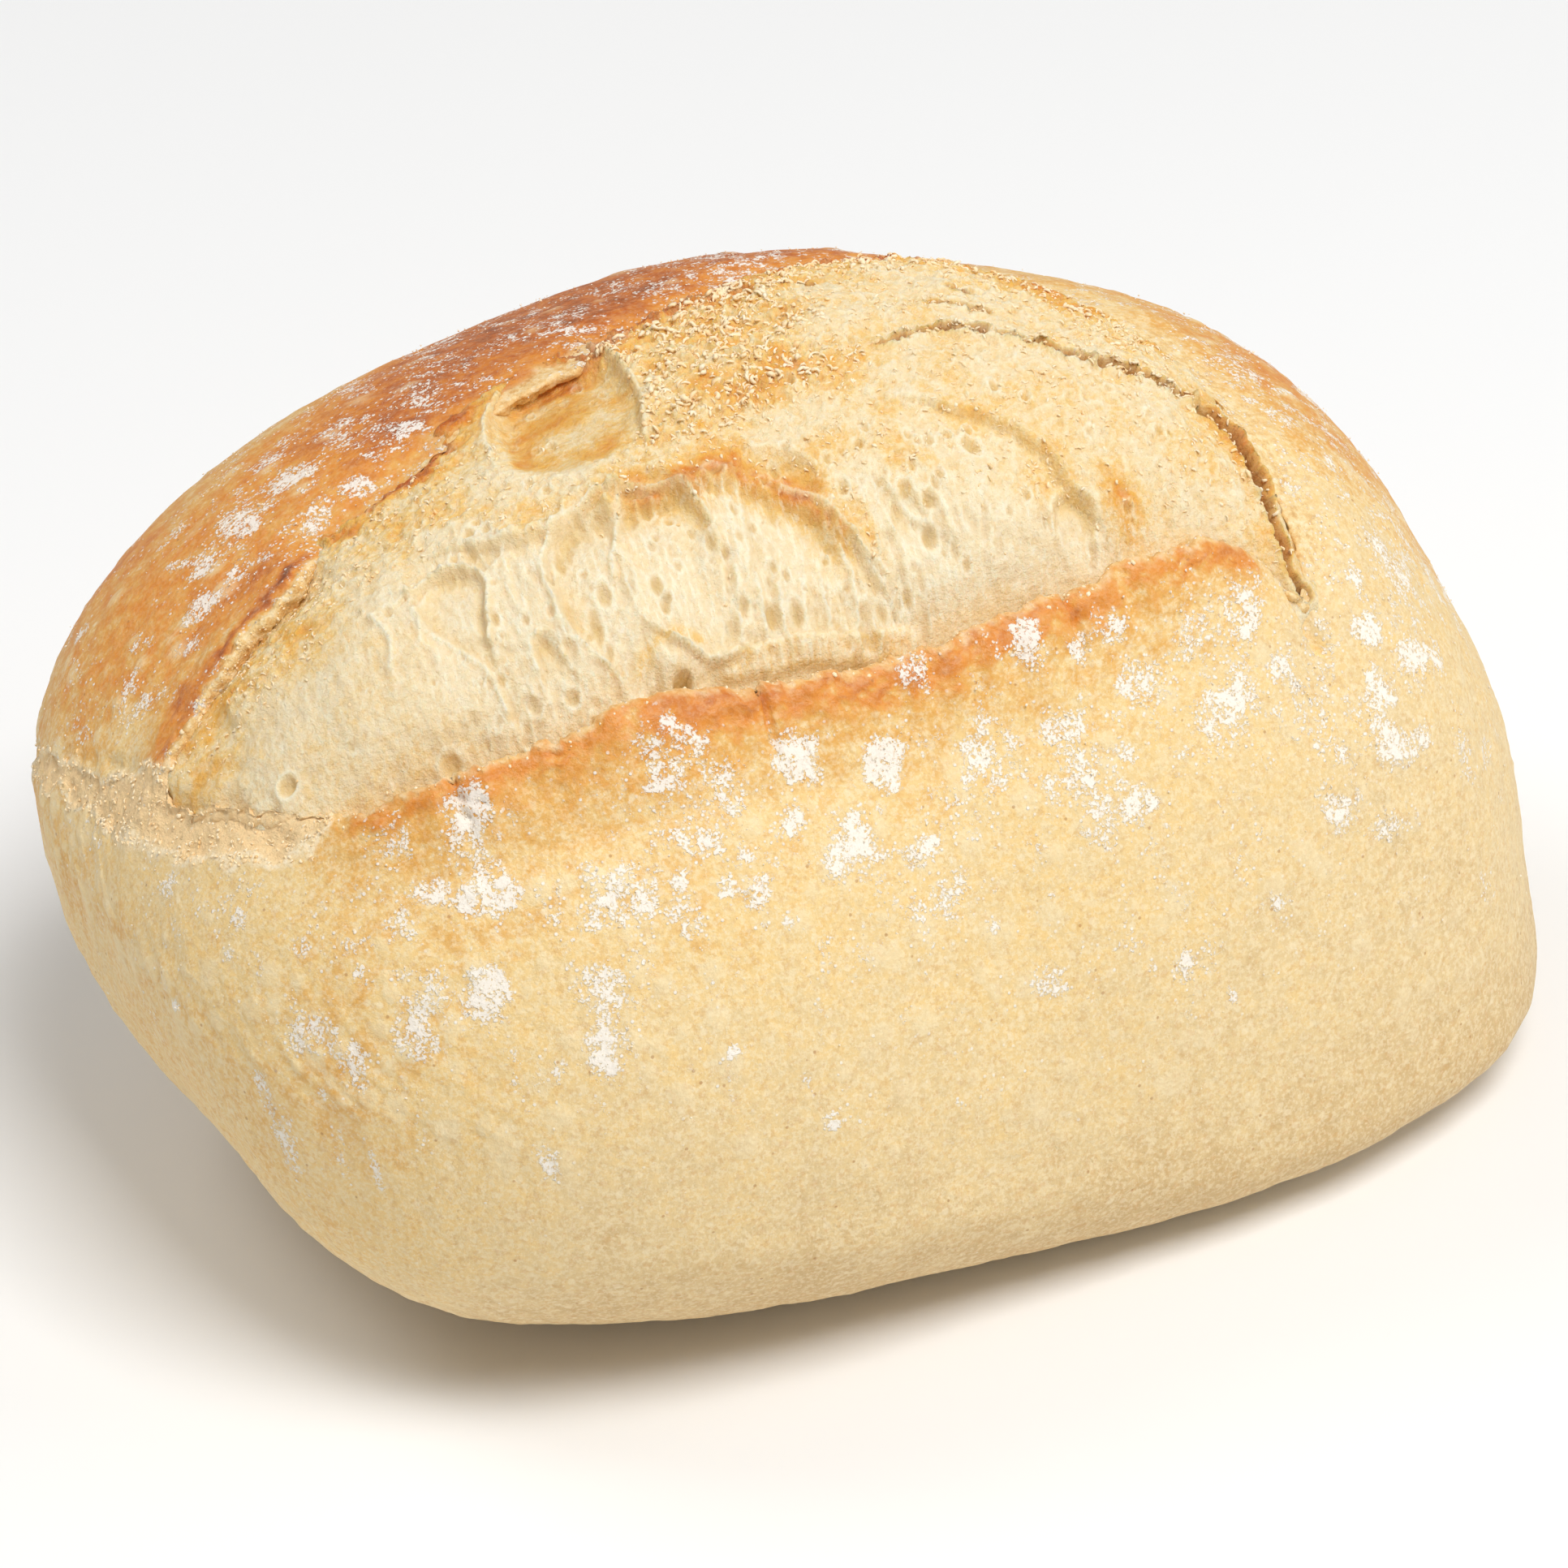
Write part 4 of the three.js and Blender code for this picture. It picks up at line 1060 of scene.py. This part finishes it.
crumb_values = {key: tucked(value, False) for key, value in crumb_values.items()}
crumb = make_sheet("crumb", tucked(surface, True), crumb_values)
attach(crumb, "root")
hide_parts("bread_roll")

# %% [markdown]
# ## Materials
#
# Both materials mix a few flat colours by the amounts stored on the points, and then break them
# up with noise in Object coordinates, so that nothing slides when the roll is turned.

# %% Helpers for materials
def srgb(red, green, blue):
    """A colour given as 0 to 255, in the linear numbers that shaders use."""
    values = (c / 255 for c in (red, green, blue))
    return (*(c / 12.92 if c <= 0.04045 else ((c + 0.055) / 1.055) ** 2.4 for c in values), 1.0)


class Tree:
    """A material's nodes, with short calls to add and join them."""

    def __init__(self, name):
        self.material = bpy.data.materials.new(name)
        self.material.use_nodes = True
        self.nodes = self.material.node_tree.nodes
        self.links = self.material.node_tree.links
        self.shader = self.nodes["Principled BSDF"]
        self.place = self.nodes.new("ShaderNodeTexCoord").outputs["Object"]

    def join(self, value, socket):
        """Links a socket to another one, or sets its number or colour."""
        if isinstance(value, bpy.types.NodeSocket):
            self.links.new(value, socket)
        else:
            socket.default_value = value

    def set(self, **values):
        """Joins values to the shader's inputs, named with _ in place of a space."""
        for name, value in values.items():
            self.join(value, self.shader.inputs[name.replace("_", " ")])

    def point_value(self, name):
        """A measure stored on the mesh's points."""
        node = self.nodes.new("ShaderNodeAttribute")
        node.attribute_name = name
        return node.outputs["Fac"]

    def noise(self, size_mm, detail=4.0, rough=0.5, place=None):
        """Cloudy noise from 0 to 1, with patches of about a size."""
        node = self.nodes.new("ShaderNodeTexNoise")
        node.inputs["Scale"].default_value = 1 / (size_mm * MM)
        node.inputs["Detail"].default_value = detail
        node.inputs["Roughness"].default_value = rough
        self.join(place or self.place, node.inputs["Vector"])
        return node.outputs["Fac"]

    def specks(self, size_mm):
        """Distance from the middle of random cells, and a number drawn for each cell."""
        node = self.nodes.new("ShaderNodeTexVoronoi")
        node.inputs["Scale"].default_value = 1 / (size_mm * MM)
        self.join(self.place, node.inputs["Vector"])
        return node.outputs["Distance"], node.outputs["Color"]

    def turned(self, angle, stretch):
        """Object coordinates turned in plan, and then stretched along the new axes."""
        turn = self.nodes.new("ShaderNodeVectorRotate")
        turn.rotation_type = "Z_AXIS"
        turn.inputs["Angle"].default_value = -angle
        self.join(self.place, turn.inputs["Vector"])
        node = self.nodes.new("ShaderNodeMapping")
        node.inputs["Scale"].default_value = [1 / s for s in stretch]
        self.join(turn.outputs["Vector"], node.inputs["Vector"])
        return node.outputs["Vector"]

    def math(self, operation, first, second):
        node = self.nodes.new("ShaderNodeMath")
        node.operation = operation
        self.join(first, node.inputs[0])
        self.join(second, node.inputs[1])
        return node.outputs["Value"]

    def plus(self, first, second):
        return self.math("ADD", first, second)

    def minus(self, first, second):
        return self.math("SUBTRACT", first, second)

    def times(self, first, second):
        return self.math("MULTIPLY", first, second)

    def larger(self, first, second):
        return self.math("MAXIMUM", first, second)

    def window(self, value, low, high, to_low=0.0, to_high=1.0):
        """A smooth step between two levels, as a value goes from low to high."""
        node = self.nodes.new("ShaderNodeMapRange")
        node.interpolation_type = "SMOOTHSTEP"
        self.join(value, node.inputs["Value"])
        for key, number in zip(("From Min", "From Max", "To Min", "To Max"), (low, high, to_low, to_high)):
            node.inputs[key].default_value = number
        return node.outputs["Result"]

    def mix(self, share, first, second):
        """Two colours mixed by a share of the second."""
        node = self.nodes.new("ShaderNodeMix")
        node.data_type = "RGBA"
        self.join(share, node.inputs["Factor"])
        self.join(first, node.inputs[6])
        self.join(second, node.inputs[7])
        return node.outputs[2]

    def ramp(self, value, stops):
        """A colour read from a row of stops."""
        node = self.nodes.new("ShaderNodeValToRGB")
        elements = node.color_ramp.elements
        while len(elements) < len(stops):
            elements.new(0.5)
        for element, (position, colour) in zip(elements, stops):
            element.position = position
            element.color = colour
        self.join(value, node.inputs["Fac"])
        return node.outputs["Color"]

    def bump(self, height, distance_mm, strength=1.0, below=None):
        """A relief too fine for the mesh, laid over another one."""
        node = self.nodes.new("ShaderNodeBump")
        node.inputs["Distance"].default_value = distance_mm * MM
        node.inputs["Strength"].default_value = strength
        self.join(height, node.inputs["Height"])
        if below is not None:
            self.links.new(below, node.inputs["Normal"])
        return node.outputs["Normal"]


# %% [markdown]
# Crust browns with heat, from pale tan through amber to dark brown, so one row of colours serves
# the whole skin. Noise of two sizes shifts the heat a little from place to place, as the oven does.
# On the lips the noise is weaker, because their colour already changes within a few millimetres.

# %% The crust's baking colours
PALE_FLOUR, DUST_WHITE = srgb(248, 230, 190), srgb(252, 245, 234)
tree = Tree("baked_crust")
patches = tree.noise(6.0, 5, 0.6)
mottle = tree.noise(1.1, 4, 0.6)
# The stored bake also carries painted shade, low on the left end and at the foot
heat_and_shade = tree.plus(tree.point_value("bake_and_shade"), tree.window(patches, 0.3, 0.7, -0.035, 0.035))
calmer_on_lip = tree.window(tree.point_value("lip"), 0, 1, 1.0, 0.35)
heat_and_shade = tree.plus(heat_and_shade, tree.times(tree.window(mottle, 0.3, 0.7, -0.065, 0.065), calmer_on_lip))
heat_and_shade = tree.minus(heat_and_shade, tree.times(tree.point_value("blister"), 0.05))
skin = tree.ramp(heat_and_shade, [
    (0.00, srgb(218, 186, 132)), (0.15, srgb(234, 206, 152)), (0.30, srgb(242, 208, 142)),
    (0.45, srgb(232, 176, 92)), (0.60, srgb(227, 144, 56)), (0.75, srgb(196, 108, 46)),
    (0.88, srgb(148, 78, 40)), (1.00, srgb(112, 58, 34))])

# %% [markdown]
# Up close the crust is a net of pale and darker veins, with round pale dots where small bubbles
# dried, and a few brown specks of bran. The hottest skin lost most of it. Voronoi cells make the
# dots and specks, because each cell has a middle to measure from.

# %% Veins, dots and bran
off_lip = tree.window(heat_and_shade, 0.36, 0.56, 1.0, 0.22)
veins = tree.window(tree.noise(0.36, 3, 0.65), 0.44, 0.62, 0.0, 0.50)
skin = tree.mix(tree.times(veins, off_lip), skin, PALE_FLOUR)
dark_veins = tree.window(tree.noise(0.6, 4, 0.7), 0.36, 0.48, 0.30, 0.0)
skin = tree.mix(tree.times(dark_veins, off_lip), skin, srgb(212, 154, 80))
pale_dots = tree.window(tree.specks(1.15)[0], 0.16, 0.30, 1.0, 0.0)
dot_share = tree.times(pale_dots, tree.window(tree.noise(2.6, 2), 0.42, 0.60, 0.0, 0.50))
skin = tree.mix(tree.times(dot_share, off_lip), skin, srgb(248, 230, 192))
skin = tree.mix(tree.times(tree.point_value("blister"), 0.38), skin, srgb(248, 228, 184))
bran = tree.window(tree.specks(1.9)[0], 0.045, 0.08, 0.55, 0.0)
skin = tree.mix(bran, skin, srgb(178, 118, 62))

# %% [markdown]
# Torn skin never browned. The cut edges show cream and gold streaks, and the wide torn band at the
# left end is pale, with a lighter ragged fringe round it.

# %% Cut edges and torn skin
cut_tone = tree.ramp(tree.noise(0.7, 4, 0.7), [
    (0.34, srgb(222, 170, 100)), (0.50, srgb(246, 214, 152)), (0.64, srgb(254, 236, 196))])
skin = tree.mix(tree.point_value("cut"), skin, cut_tone)
torn_here, streaks = tree.point_value("torn"), tree.noise(0.5, 4, 0.7)
torn_share = tree.times(torn_here, tree.window(streaks, 0.35, 0.65, 0.45, 0.95))
skin = tree.mix(torn_share, skin, srgb(254, 218, 164))
fringe = tree.times(tree.window(torn_here, 0.02, 0.35), tree.window(torn_here, 0.95, 0.5))
fringe = tree.times(fringe, tree.window(streaks, 0.40, 0.60, 0.2, 0.9))
skin = tree.mix(fringe, skin, srgb(255, 238, 204))

# %% [markdown]
# Flour covers the skin last, since it lies on top. Noise eats into the soft patches, so that their
# rims break up into powder, and small cells add single specks beside them.

# %% Flour as paint
flour_here = tree.point_value("flour")
dust = tree.plus(flour_here, tree.window(tree.noise(0.9, 4, 0.75), 0.30, 0.70, -0.42, 0.28))
dust = tree.plus(dust, tree.window(tree.noise(0.26, 2, 0.6), 0.30, 0.70, -0.34, 0.26))
dust_share = tree.window(dust, 0.44, 0.80, 0.0, 0.90)
speck, speck_luck = tree.specks(0.34)
luck = tree.minus(tree.times(flour_here, 0.95), speck_luck)
speck_share = tree.times(tree.window(speck, 0.46, 0.26), tree.window(luck, -0.12, 0.10, 0.0, 0.85))
dust_share = tree.larger(dust_share, speck_share)
skin = tree.mix(dust_share, skin, DUST_WHITE)

# %% [markdown]
# Baked crust has a dull sheen, the lips shine a little more, and flour not at all. The last relief
# is a bump, which only turns the light: a fine grain, a coarser one, rags where the skin tore, and
# the thickness of the flour.

# %% The crust's sheen and fine relief
gloss = tree.window(tree.point_value("lip"), 0.2, 0.8, 0.55, 0.40)
gloss = tree.larger(gloss, tree.window(dust_share, 0, 1, 0.4, 0.9))
grainy = tree.bump(tree.noise(0.32, 3, 0.65), 0.10, 0.9)
grainy = tree.bump(tree.noise(1.3, 4, 0.6), 0.20, 0.8, grainy)
rags = tree.times(tree.larger(torn_here, tree.point_value("cut")), tree.noise(0.6, 4, 0.75))
grainy = tree.bump(rags, 0.2, 1.0, grainy)
grainy = tree.bump(dust_share, 0.05, 1.0, grainy)
tree.set(Base_Color=skin, Roughness=gloss, Specular_IOR_Level=0.35, Normal=grainy)
crust.data.materials.append(tree.material)
print("material", tree.material.name, len(tree.nodes), "nodes")

# %% [markdown]
# The crumb's colours follow its toast, from cream to amber. On top, walls and strands are lighter.
# A painted highlight lightens what stands out, and painted shade makes hollows and steep walls
# yellower and pores and gaps darkest. Light goes a little way into crumb and comes out warm, so it
# has subsurface scattering, which the dense crust doesn't need.

# %% The crumb's material
CREAM = srgb(255, 246, 222)
tree = Tree("torn_crumb")
# The stored toast also carries painted shade in the window and on the fissures' rims
toasted_and_shaded = tree.plus(tree.point_value("toast_and_shade"), tree.window(tree.noise(1.2, 4, 0.6), 0.3, 0.7, -0.07, 0.07))
flesh = tree.ramp(toasted_and_shaded, [
    (0.00, srgb(245, 228, 194)), (0.20, srgb(244, 220, 174)), (0.40, srgb(243, 205, 134)),
    (0.60, srgb(238, 179, 84)), (0.80, srgb(224, 138, 50)), (1.00, srgb(184, 92, 34))])
untoasted = tree.window(toasted_and_shaded, 0.35, 0.65, 1.0, 0.25)
pale_grain = tree.window(tree.noise(0.45, 3, 0.65), 0.42, 0.62, 0.0, 0.42)
flesh = tree.mix(tree.times(pale_grain, untoasted), flesh, srgb(252, 240, 212))
strand_place = tree.turned(STRAND_TURN, (7.0, 1.0, 2.0))
strand_light = tree.window(tree.noise(0.34, 3, 0.6, strand_place), 0.50, 0.64, 0.0, 0.55)
flesh = tree.mix(tree.times(strand_light, tree.point_value("torn_face")), flesh, CREAM)
# Paler webs, a painted highlight on what stands out, and painted shade in hollows and on steep walls
for value, share, tint in (
        ("web", 0.65, CREAM), ("proud_highlight", 0.5, srgb(254, 243, 216)), ("hollow_shade", 0.55, srgb(236, 204, 136))):
    flesh = tree.mix(tree.times(tree.point_value(value), share), flesh, tint)
# Painted shade in pores, pockets and holes
flesh = tree.mix(tree.point_value("pit"), flesh, srgb(210, 174, 104))
# Painted shade: dark brown in the fissures' gaps
flesh = tree.mix(tree.point_value("gap_shade"), flesh, srgb(160, 92, 34))
height = tree.bump(tree.noise(0.26, 3, 0.7), 0.16, 1.0)
height = tree.bump(tree.noise(0.8, 4, 0.65), 0.26, 0.9, height)
film_gloss = tree.window(tree.point_value("film"), 0, 1, 0.72, 0.42)
tree.set(Base_Color=flesh, Roughness=film_gloss, Specular_IOR_Level=0.3, Normal=height)
tree.set(Subsurface_Weight=0.45, Subsurface_Radius=(1.0, 0.80, 0.55), Subsurface_Scale=0.8 * MM)
crumb.data.materials.append(tree.material)
print("material", tree.material.name, len(tree.nodes), "nodes")

# %% [markdown]
# ## Loose grains
#
# Flour sits on the crust as grains, and the torn crumb ends in small curls and flakes. Paint can't
# catch the light as they do, so both are scattered as tiny lumps, half sunk in the surface. One
# lump is an icosphere of twenty faces. A batch of them is copied until there are enough, and then
# each copy is stretched, turned and put in its place.

# %% A helper for scattered grains
BATCH = 50


def copies_of(batch, name, count):
    """One mesh that holds a batch of small shapes as many times as it takes, and its points."""
    batch_mesh = bpy.data.meshes.new(name + "_batch")
    batch.to_mesh(batch_mesh)
    batch.free()
    bm = bmesh.new()
    for _ in range(count // BATCH):
        bm.from_mesh(batch_mesh)
    mesh = bpy.data.meshes.new(name)
    bm.to_mesh(mesh)
    bm.free()
    bpy.data.meshes.remove(batch_mesh)
    shape = np.empty(len(mesh.vertices) * 3)
    mesh.vertices.foreach_get("co", shape)
    return mesh, shape.reshape(count // BATCH * BATCH, -1, 3)


def put_in_scene(name, mesh, points, kind):
    """Moves a mesh's points to places in millimetres, and shows it as one smooth piece."""
    mesh.vertices.foreach_set("co", ((points - BOX_MIDDLE) * MM).ravel())
    mesh.polygons.foreach_set("use_smooth", np.ones(len(mesh.polygons), bool))
    mesh.update()
    piece = bpy.data.objects.new(name, mesh)
    bpy.context.scene.collection.objects.link(piece)
    triangles = sum(len(polygon.vertices) - 2 for polygon in mesh.polygons)
    print(name, len(points), kind, triangles, "triangles")
    return piece


def unit(vectors):
    """Vectors of the same directions with a length of one."""
    return vectors / np.linalg.norm(vectors, axis=1, keepdims=True)


def scatter(name, places, normals, sizes, flatten, sink):
    """Small irregular lumps at places, as one mesh."""
    batch = bmesh.new()
    for _ in range(BATCH):
        bmesh.ops.create_icosphere(batch, subdivisions=1, radius=1.0)
    mesh, shape = copies_of(batch, name, len(places))
    count = len(shape)
    places, normals, sizes = places[:count], normals[:count], sizes[:count]
    shape = shape * rng.uniform(0.6, 1.35, (*shape.shape[:2], 1)) * rng.uniform(0.7, 1.5, (count, 1, 3))
    axis_a = unit(np.cross(normals, rng.normal(size=(count, 3))))
    axis_b = np.cross(normals, axis_a)
    frame_of = np.stack([axis_a, axis_b, normals * flatten], 1)
    shape = np.einsum("nvk,nkj->nvj", shape, frame_of) * sizes[:, None, None]
    shape += (places - normals * (sizes * sink)[:, None])[:, None]
    shape[..., 2] = np.maximum(shape[..., 2], 0)
    return put_in_scene(name, mesh, shape, "grains")


# %% [markdown]
# Where crumb pulled apart, thin walls shrank into curls. One curl is a thin four-sided bar, cut
# into five along its length so that it can bend. Each copy is bent along an arc, thinned towards
# both ends, and stood up from the surface at a slant of its own.

# %% A helper for curls of crumb
CURL_PIECES = 5


def curl(name, places, normals, lengths, thickness):
    """Short bent slivers that stand up from a surface, as one mesh."""
    batch = bmesh.new()
    for _ in range(BATCH):
        made = bmesh.ops.create_cone(batch, cap_ends=True, segments=4, radius1=1.0, radius2=1.0, depth=1.0)
        edges = {edge for corner in made["verts"] for edge in corner.link_edges}
        long_edges = {edge for edge in edges if abs(edge.verts[0].co.z - edge.verts[1].co.z) > 0.5}
        bmesh.ops.subdivide_edges(batch, edges=list(long_edges), cuts=CURL_PIECES - 1)
    mesh, shape = copies_of(batch, name, len(places))
    count = len(shape)
    places, normals = places[:count], normals[:count]
    bend = rng.uniform(0.8, 3.2, (count, 1))
    turn = shape[..., 2] * bend
    length, thick = lengths[:count, None], thickness[:count, None]
    taper = thick * (1 - 2.2 * shape[..., 2] ** 2) * rng.uniform(0.7, 1.3, shape.shape[:2])
    forward = unit(np.cross(normals, rng.normal(size=(count, 3))))
    sideways = np.cross(normals, forward)
    up = unit(normals * rng.uniform(0.1, 0.7, (count, 1)) + sideways * rng.uniform(-1, 1, (count, 1)))
    across = np.cross(forward, up)
    out_of_arc = np.sin(turn)[..., None] * forward[:, None] + np.cos(turn)[..., None] * up[:, None]
    middle = (length / bend)[..., None] * (out_of_arc - np.cos(bend / 2)[..., None] * up[:, None])
    flat_side = (shape[..., 1] * taper * 1.6)[..., None] * across[:, None]
    body = (shape[..., 0] * taper)[..., None] * out_of_arc + flat_side
    return put_in_scene(name, mesh, places[:, None] + middle + body, "curls")


# %% [markdown]
# The grains of flour are drawn where the paint has flour, with a few anywhere on the upper skin.
# Each point's chance also counts the area round it, because the mesh is finer along the lips.

# %% Flour grains
GRAINS = 5000
skin_rows = slice(LIP_ROWS // 3, LIP_ROWS + FACE_ROWS)
skin_points = crust_points[skin_rows].reshape(-1, 3)
skin_normals = crust_normal[skin_rows].reshape(-1, 3)
weight = ((flour**2 + 0.006) * cell)[skin_rows].ravel()
weight *= ramp(3, 8, skin_points[:, 2]) * ramp(-0.2, 0.2, reach_out[skin_rows].ravel())
chosen = rng.choice(len(weight), GRAINS, p=weight / weight.sum())
places = skin_points[chosen] + rng.normal(size=(len(chosen), 3)) * 0.12
grain_sizes = rng.uniform(0.035, 0.085, len(chosen))
flour_grains = scatter("flour_grains", places, skin_normals[chosen], grain_sizes, 0.8, 0.4)

# %% [markdown]
# Bits of crumb lie on the coarse parts, at the fissures and along the ragged edges of the ear. The
# smooth floor of the window and the inside of the gaps stay free of them. Most bits are very small
# and a few are large, so the size is drawn with a power.

# %% Crumb bits
BITS_ON_CRUMB, BITS_ON_EDGES = 900, 700
flat_normals = crumb_normals.reshape(-1, 3)
rough_here = 0.04 + 1.5 * coarse + 0.26 * upper + 0.8 * back_band + 1.3 * fissure_rim + 0.15 * corner
not_smooth = (1 - 0.97 * ramp(1.06, 0.98, window_round)) * (1 - 0.6 * calm) * (1 - fissure)
rough_here *= not_smooth * ramp(0.6, 2.2, inward)
rough_here *= np.linalg.norm(np.cross(np.gradient(surface, axis=0), np.gradient(surface, axis=1)), axis=-1)
rough_here *= 1 - 0.8 * bell(crest_away, 1.0)
weight = (rough_here * (0.3 + 0.7 * ramp(-0.1, 0.3, rough))).ravel()
chosen = rng.choice(len(weight), BITS_ON_CRUMB, p=weight / weight.sum())
ragged_edge = bell(reach_out + 0.1, 0.5) * (ear_row + 0.3 * front_row) * ramp(-48, -46, out_x)
edge_weight = ((ragged_edge + 0.12 * torn**2) * cell)[skin_rows].ravel()
on_edges = rng.choice(len(edge_weight), BITS_ON_EDGES, p=edge_weight / edge_weight.sum())
places = np.concatenate([surface.reshape(-1, 3)[chosen], skin_points[on_edges]])
bit_normals = np.concatenate([flat_normals[chosen], skin_normals[on_edges]])
bit_sizes = 0.05 + 0.12 * rng.random(len(places)) ** 3
crumb_bits = scatter("crumb_bits", places, bit_normals, bit_sizes, 0.8, 0.2)

# %% [markdown]
# Curls grow from the same rough places, longest in the coarse part and at the fissures, and short
# ones fringe the tear at the left.

# %% Crumb curls
CURLS_ON_CRUMB, CURLS_ON_TEAR = 3600, 500
chosen = rng.choice(len(weight), CURLS_ON_CRUMB, p=weight / weight.sum())
lengths = 0.28 + 0.62 * rng.random(len(chosen)) ** 1.5
lengths *= 0.5 + 0.5 * (coarse + 0.8 * fissure_rim).ravel()[chosen].clip(0, 1)
thick = lengths * rng.uniform(0.10, 0.19, len(chosen))
torn_weight = ((torn_rim + 0.4 * torn) * cell)[skin_rows].ravel()
on_tear = rng.choice(len(torn_weight), CURLS_ON_TEAR, p=torn_weight / torn_weight.sum())
places = np.concatenate([surface.reshape(-1, 3)[chosen], skin_points[on_tear]])
curl_normals = np.concatenate([flat_normals[chosen], skin_normals[on_tear]])
lengths = np.concatenate([lengths, rng.uniform(0.15, 0.45, len(on_tear))])
thick = np.concatenate([thick, rng.uniform(0.04, 0.08, len(on_tear))])
crumb_curls = curl("crumb_curls", places, curl_normals, lengths, thick)

for piece, slot in ((flour_grains, "crust"), (crumb_bits, "crumb"), (crumb_curls, "crumb")):
    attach(piece, "root")
    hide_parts("bread_roll")

# %% [markdown]
# Flour grains are chalky, off-white and fully dull. Bits and curls are dried crumb, mostly cream,
# with gold ends where they toasted.

# %% Materials of the grains
tree = Tree("flour_dust")
chalk = tree.mix(tree.window(tree.noise(0.8, 3), 0.35, 0.65), srgb(250, 240, 222), srgb(244, 228, 200))
tree.set(Base_Color=chalk, Roughness=0.9)
flour_grains.data.materials.append(tree.material)
tree = Tree("crumb_flake")
tone = tree.ramp(tree.noise(1.4, 4, 0.6), [
    (0.30, srgb(255, 243, 216)), (0.50, srgb(255, 232, 190)),
    (0.66, srgb(252, 214, 154)), (0.80, srgb(246, 190, 112))])
tree.set(Base_Color=tone, Roughness=0.65)
crumb_curls.data.materials.append(tree.material)
crumb_bits.data.materials.append(tree.material)
print("materials", [material.name for material in bpy.data.materials])

# %% [markdown]
# ## Floor, light and camera
#
# The roll stands on a wide matt floor that is almost white. The floor isn't part of the roll, so
# it isn't attached to the roll's body.

# %% The floor
FLOOR_HALF = 3.0  # metres
bm = bmesh.new()
bmesh.ops.create_grid(bm, x_segments=1, y_segments=1, size=FLOOR_HALF)
floor_mesh = bpy.data.meshes.new("floor")
bm.to_mesh(floor_mesh)
bm.free()
floor = bpy.data.objects.new("floor", floor_mesh)
bpy.context.scene.collection.objects.link(floor)
tree = Tree("pale_floor")
tree.set(Base_Color=(0.93, 0.93, 0.925, 1), Roughness=0.9)
floor_mesh.materials.append(tree.material)
print("floor", 2 * FLOOR_HALF, "m wide")

# %% [markdown]
# A bread roll is lit softly, so that its relief shows without hard shadows. The main softbox hangs
# high in front, a weaker one fills the right side, and a third lifts the back. A dim white sky
# keeps the deepest shadows open.

# %% The light
SKY_STRENGTH = 0.25
LIGHT_TARGET = Vector((0, 0, 0.03))  # metres
world = bpy.data.worlds.new("studio")
bpy.context.scene.world = world
world.use_nodes = True
world.node_tree.nodes["Background"].inputs["Color"].default_value = (1.0, 1.0, 1.0, 1)
world.node_tree.nodes["Background"].inputs["Strength"].default_value = SKY_STRENGTH


def way_to(azimuth, elevation):
    """The direction out to an azimuth, counted from the front, and an elevation, in degrees."""
    turn, lift = math.radians(azimuth), math.radians(elevation)
    return Vector((math.sin(turn) * math.cos(lift), -math.cos(turn) * math.cos(lift), math.sin(lift)))


def soft_light(name, azimuth, elevation, distance, size, power):
    """A square softbox that looks at the roll from a direction."""
    lamp = bpy.data.lights.new(name, "AREA")
    lamp.size = size
    lamp.energy = power
    rig = bpy.data.objects.new(name, lamp)
    way = way_to(azimuth, elevation)
    rig.location = way * distance + LIGHT_TARGET
    rig.rotation_euler = way.to_track_quat("Z", "Y").to_euler()
    bpy.context.scene.collection.objects.link(rig)
    print("light", name, power, "W")


soft_light("key", 8, 62, 0.9, 0.40, 5.9)
soft_light("fill", 65, 28, 1.0, 0.6, 2.0)
soft_light("back", -140, 50, 0.9, 0.4, 2.0)

# %% [markdown]
# The camera stands about half a metre away and looks down at the roll from the front left. A long
# lens keeps the roll free of distortion. It is aimed slightly below the middle of the roll, and
# turned a few degrees about its own axis.

# %% The camera
ROLL_MIDDLE = Vector((-1.6, -0.5, 28.6)) * MM
AIM = Vector((-1.26, -2.97, 25.31)) * MM
AZIMUTH, ELEVATION, ROLL = -25.84, 32.28, 3.43
DISTANCE = 450 * MM
SENSOR_MM, LENS_MM = 36.0, 143.0
camera_data = bpy.data.cameras.new("camera")
camera_data.sensor_width = SENSOR_MM
camera_data.lens = LENS_MM
camera_data.clip_start, camera_data.clip_end = 0.01, 20
camera = bpy.data.objects.new("camera", camera_data)
camera.location = ROLL_MIDDLE + way_to(AZIMUTH, ELEVATION) * DISTANCE
facing = (camera.location - AIM).to_track_quat("Z", "Y")
camera.rotation_euler = (facing @ Matrix.Rotation(math.radians(-ROLL), 3, "Z").to_quaternion()).to_euler()
bpy.context.scene.collection.objects.link(camera)
bpy.context.scene.camera = camera
bpy.context.scene.view_settings.view_transform = "Standard"
print("camera", [round(c, 3) for c in camera.location], "lens", LENS_MM, "mm")
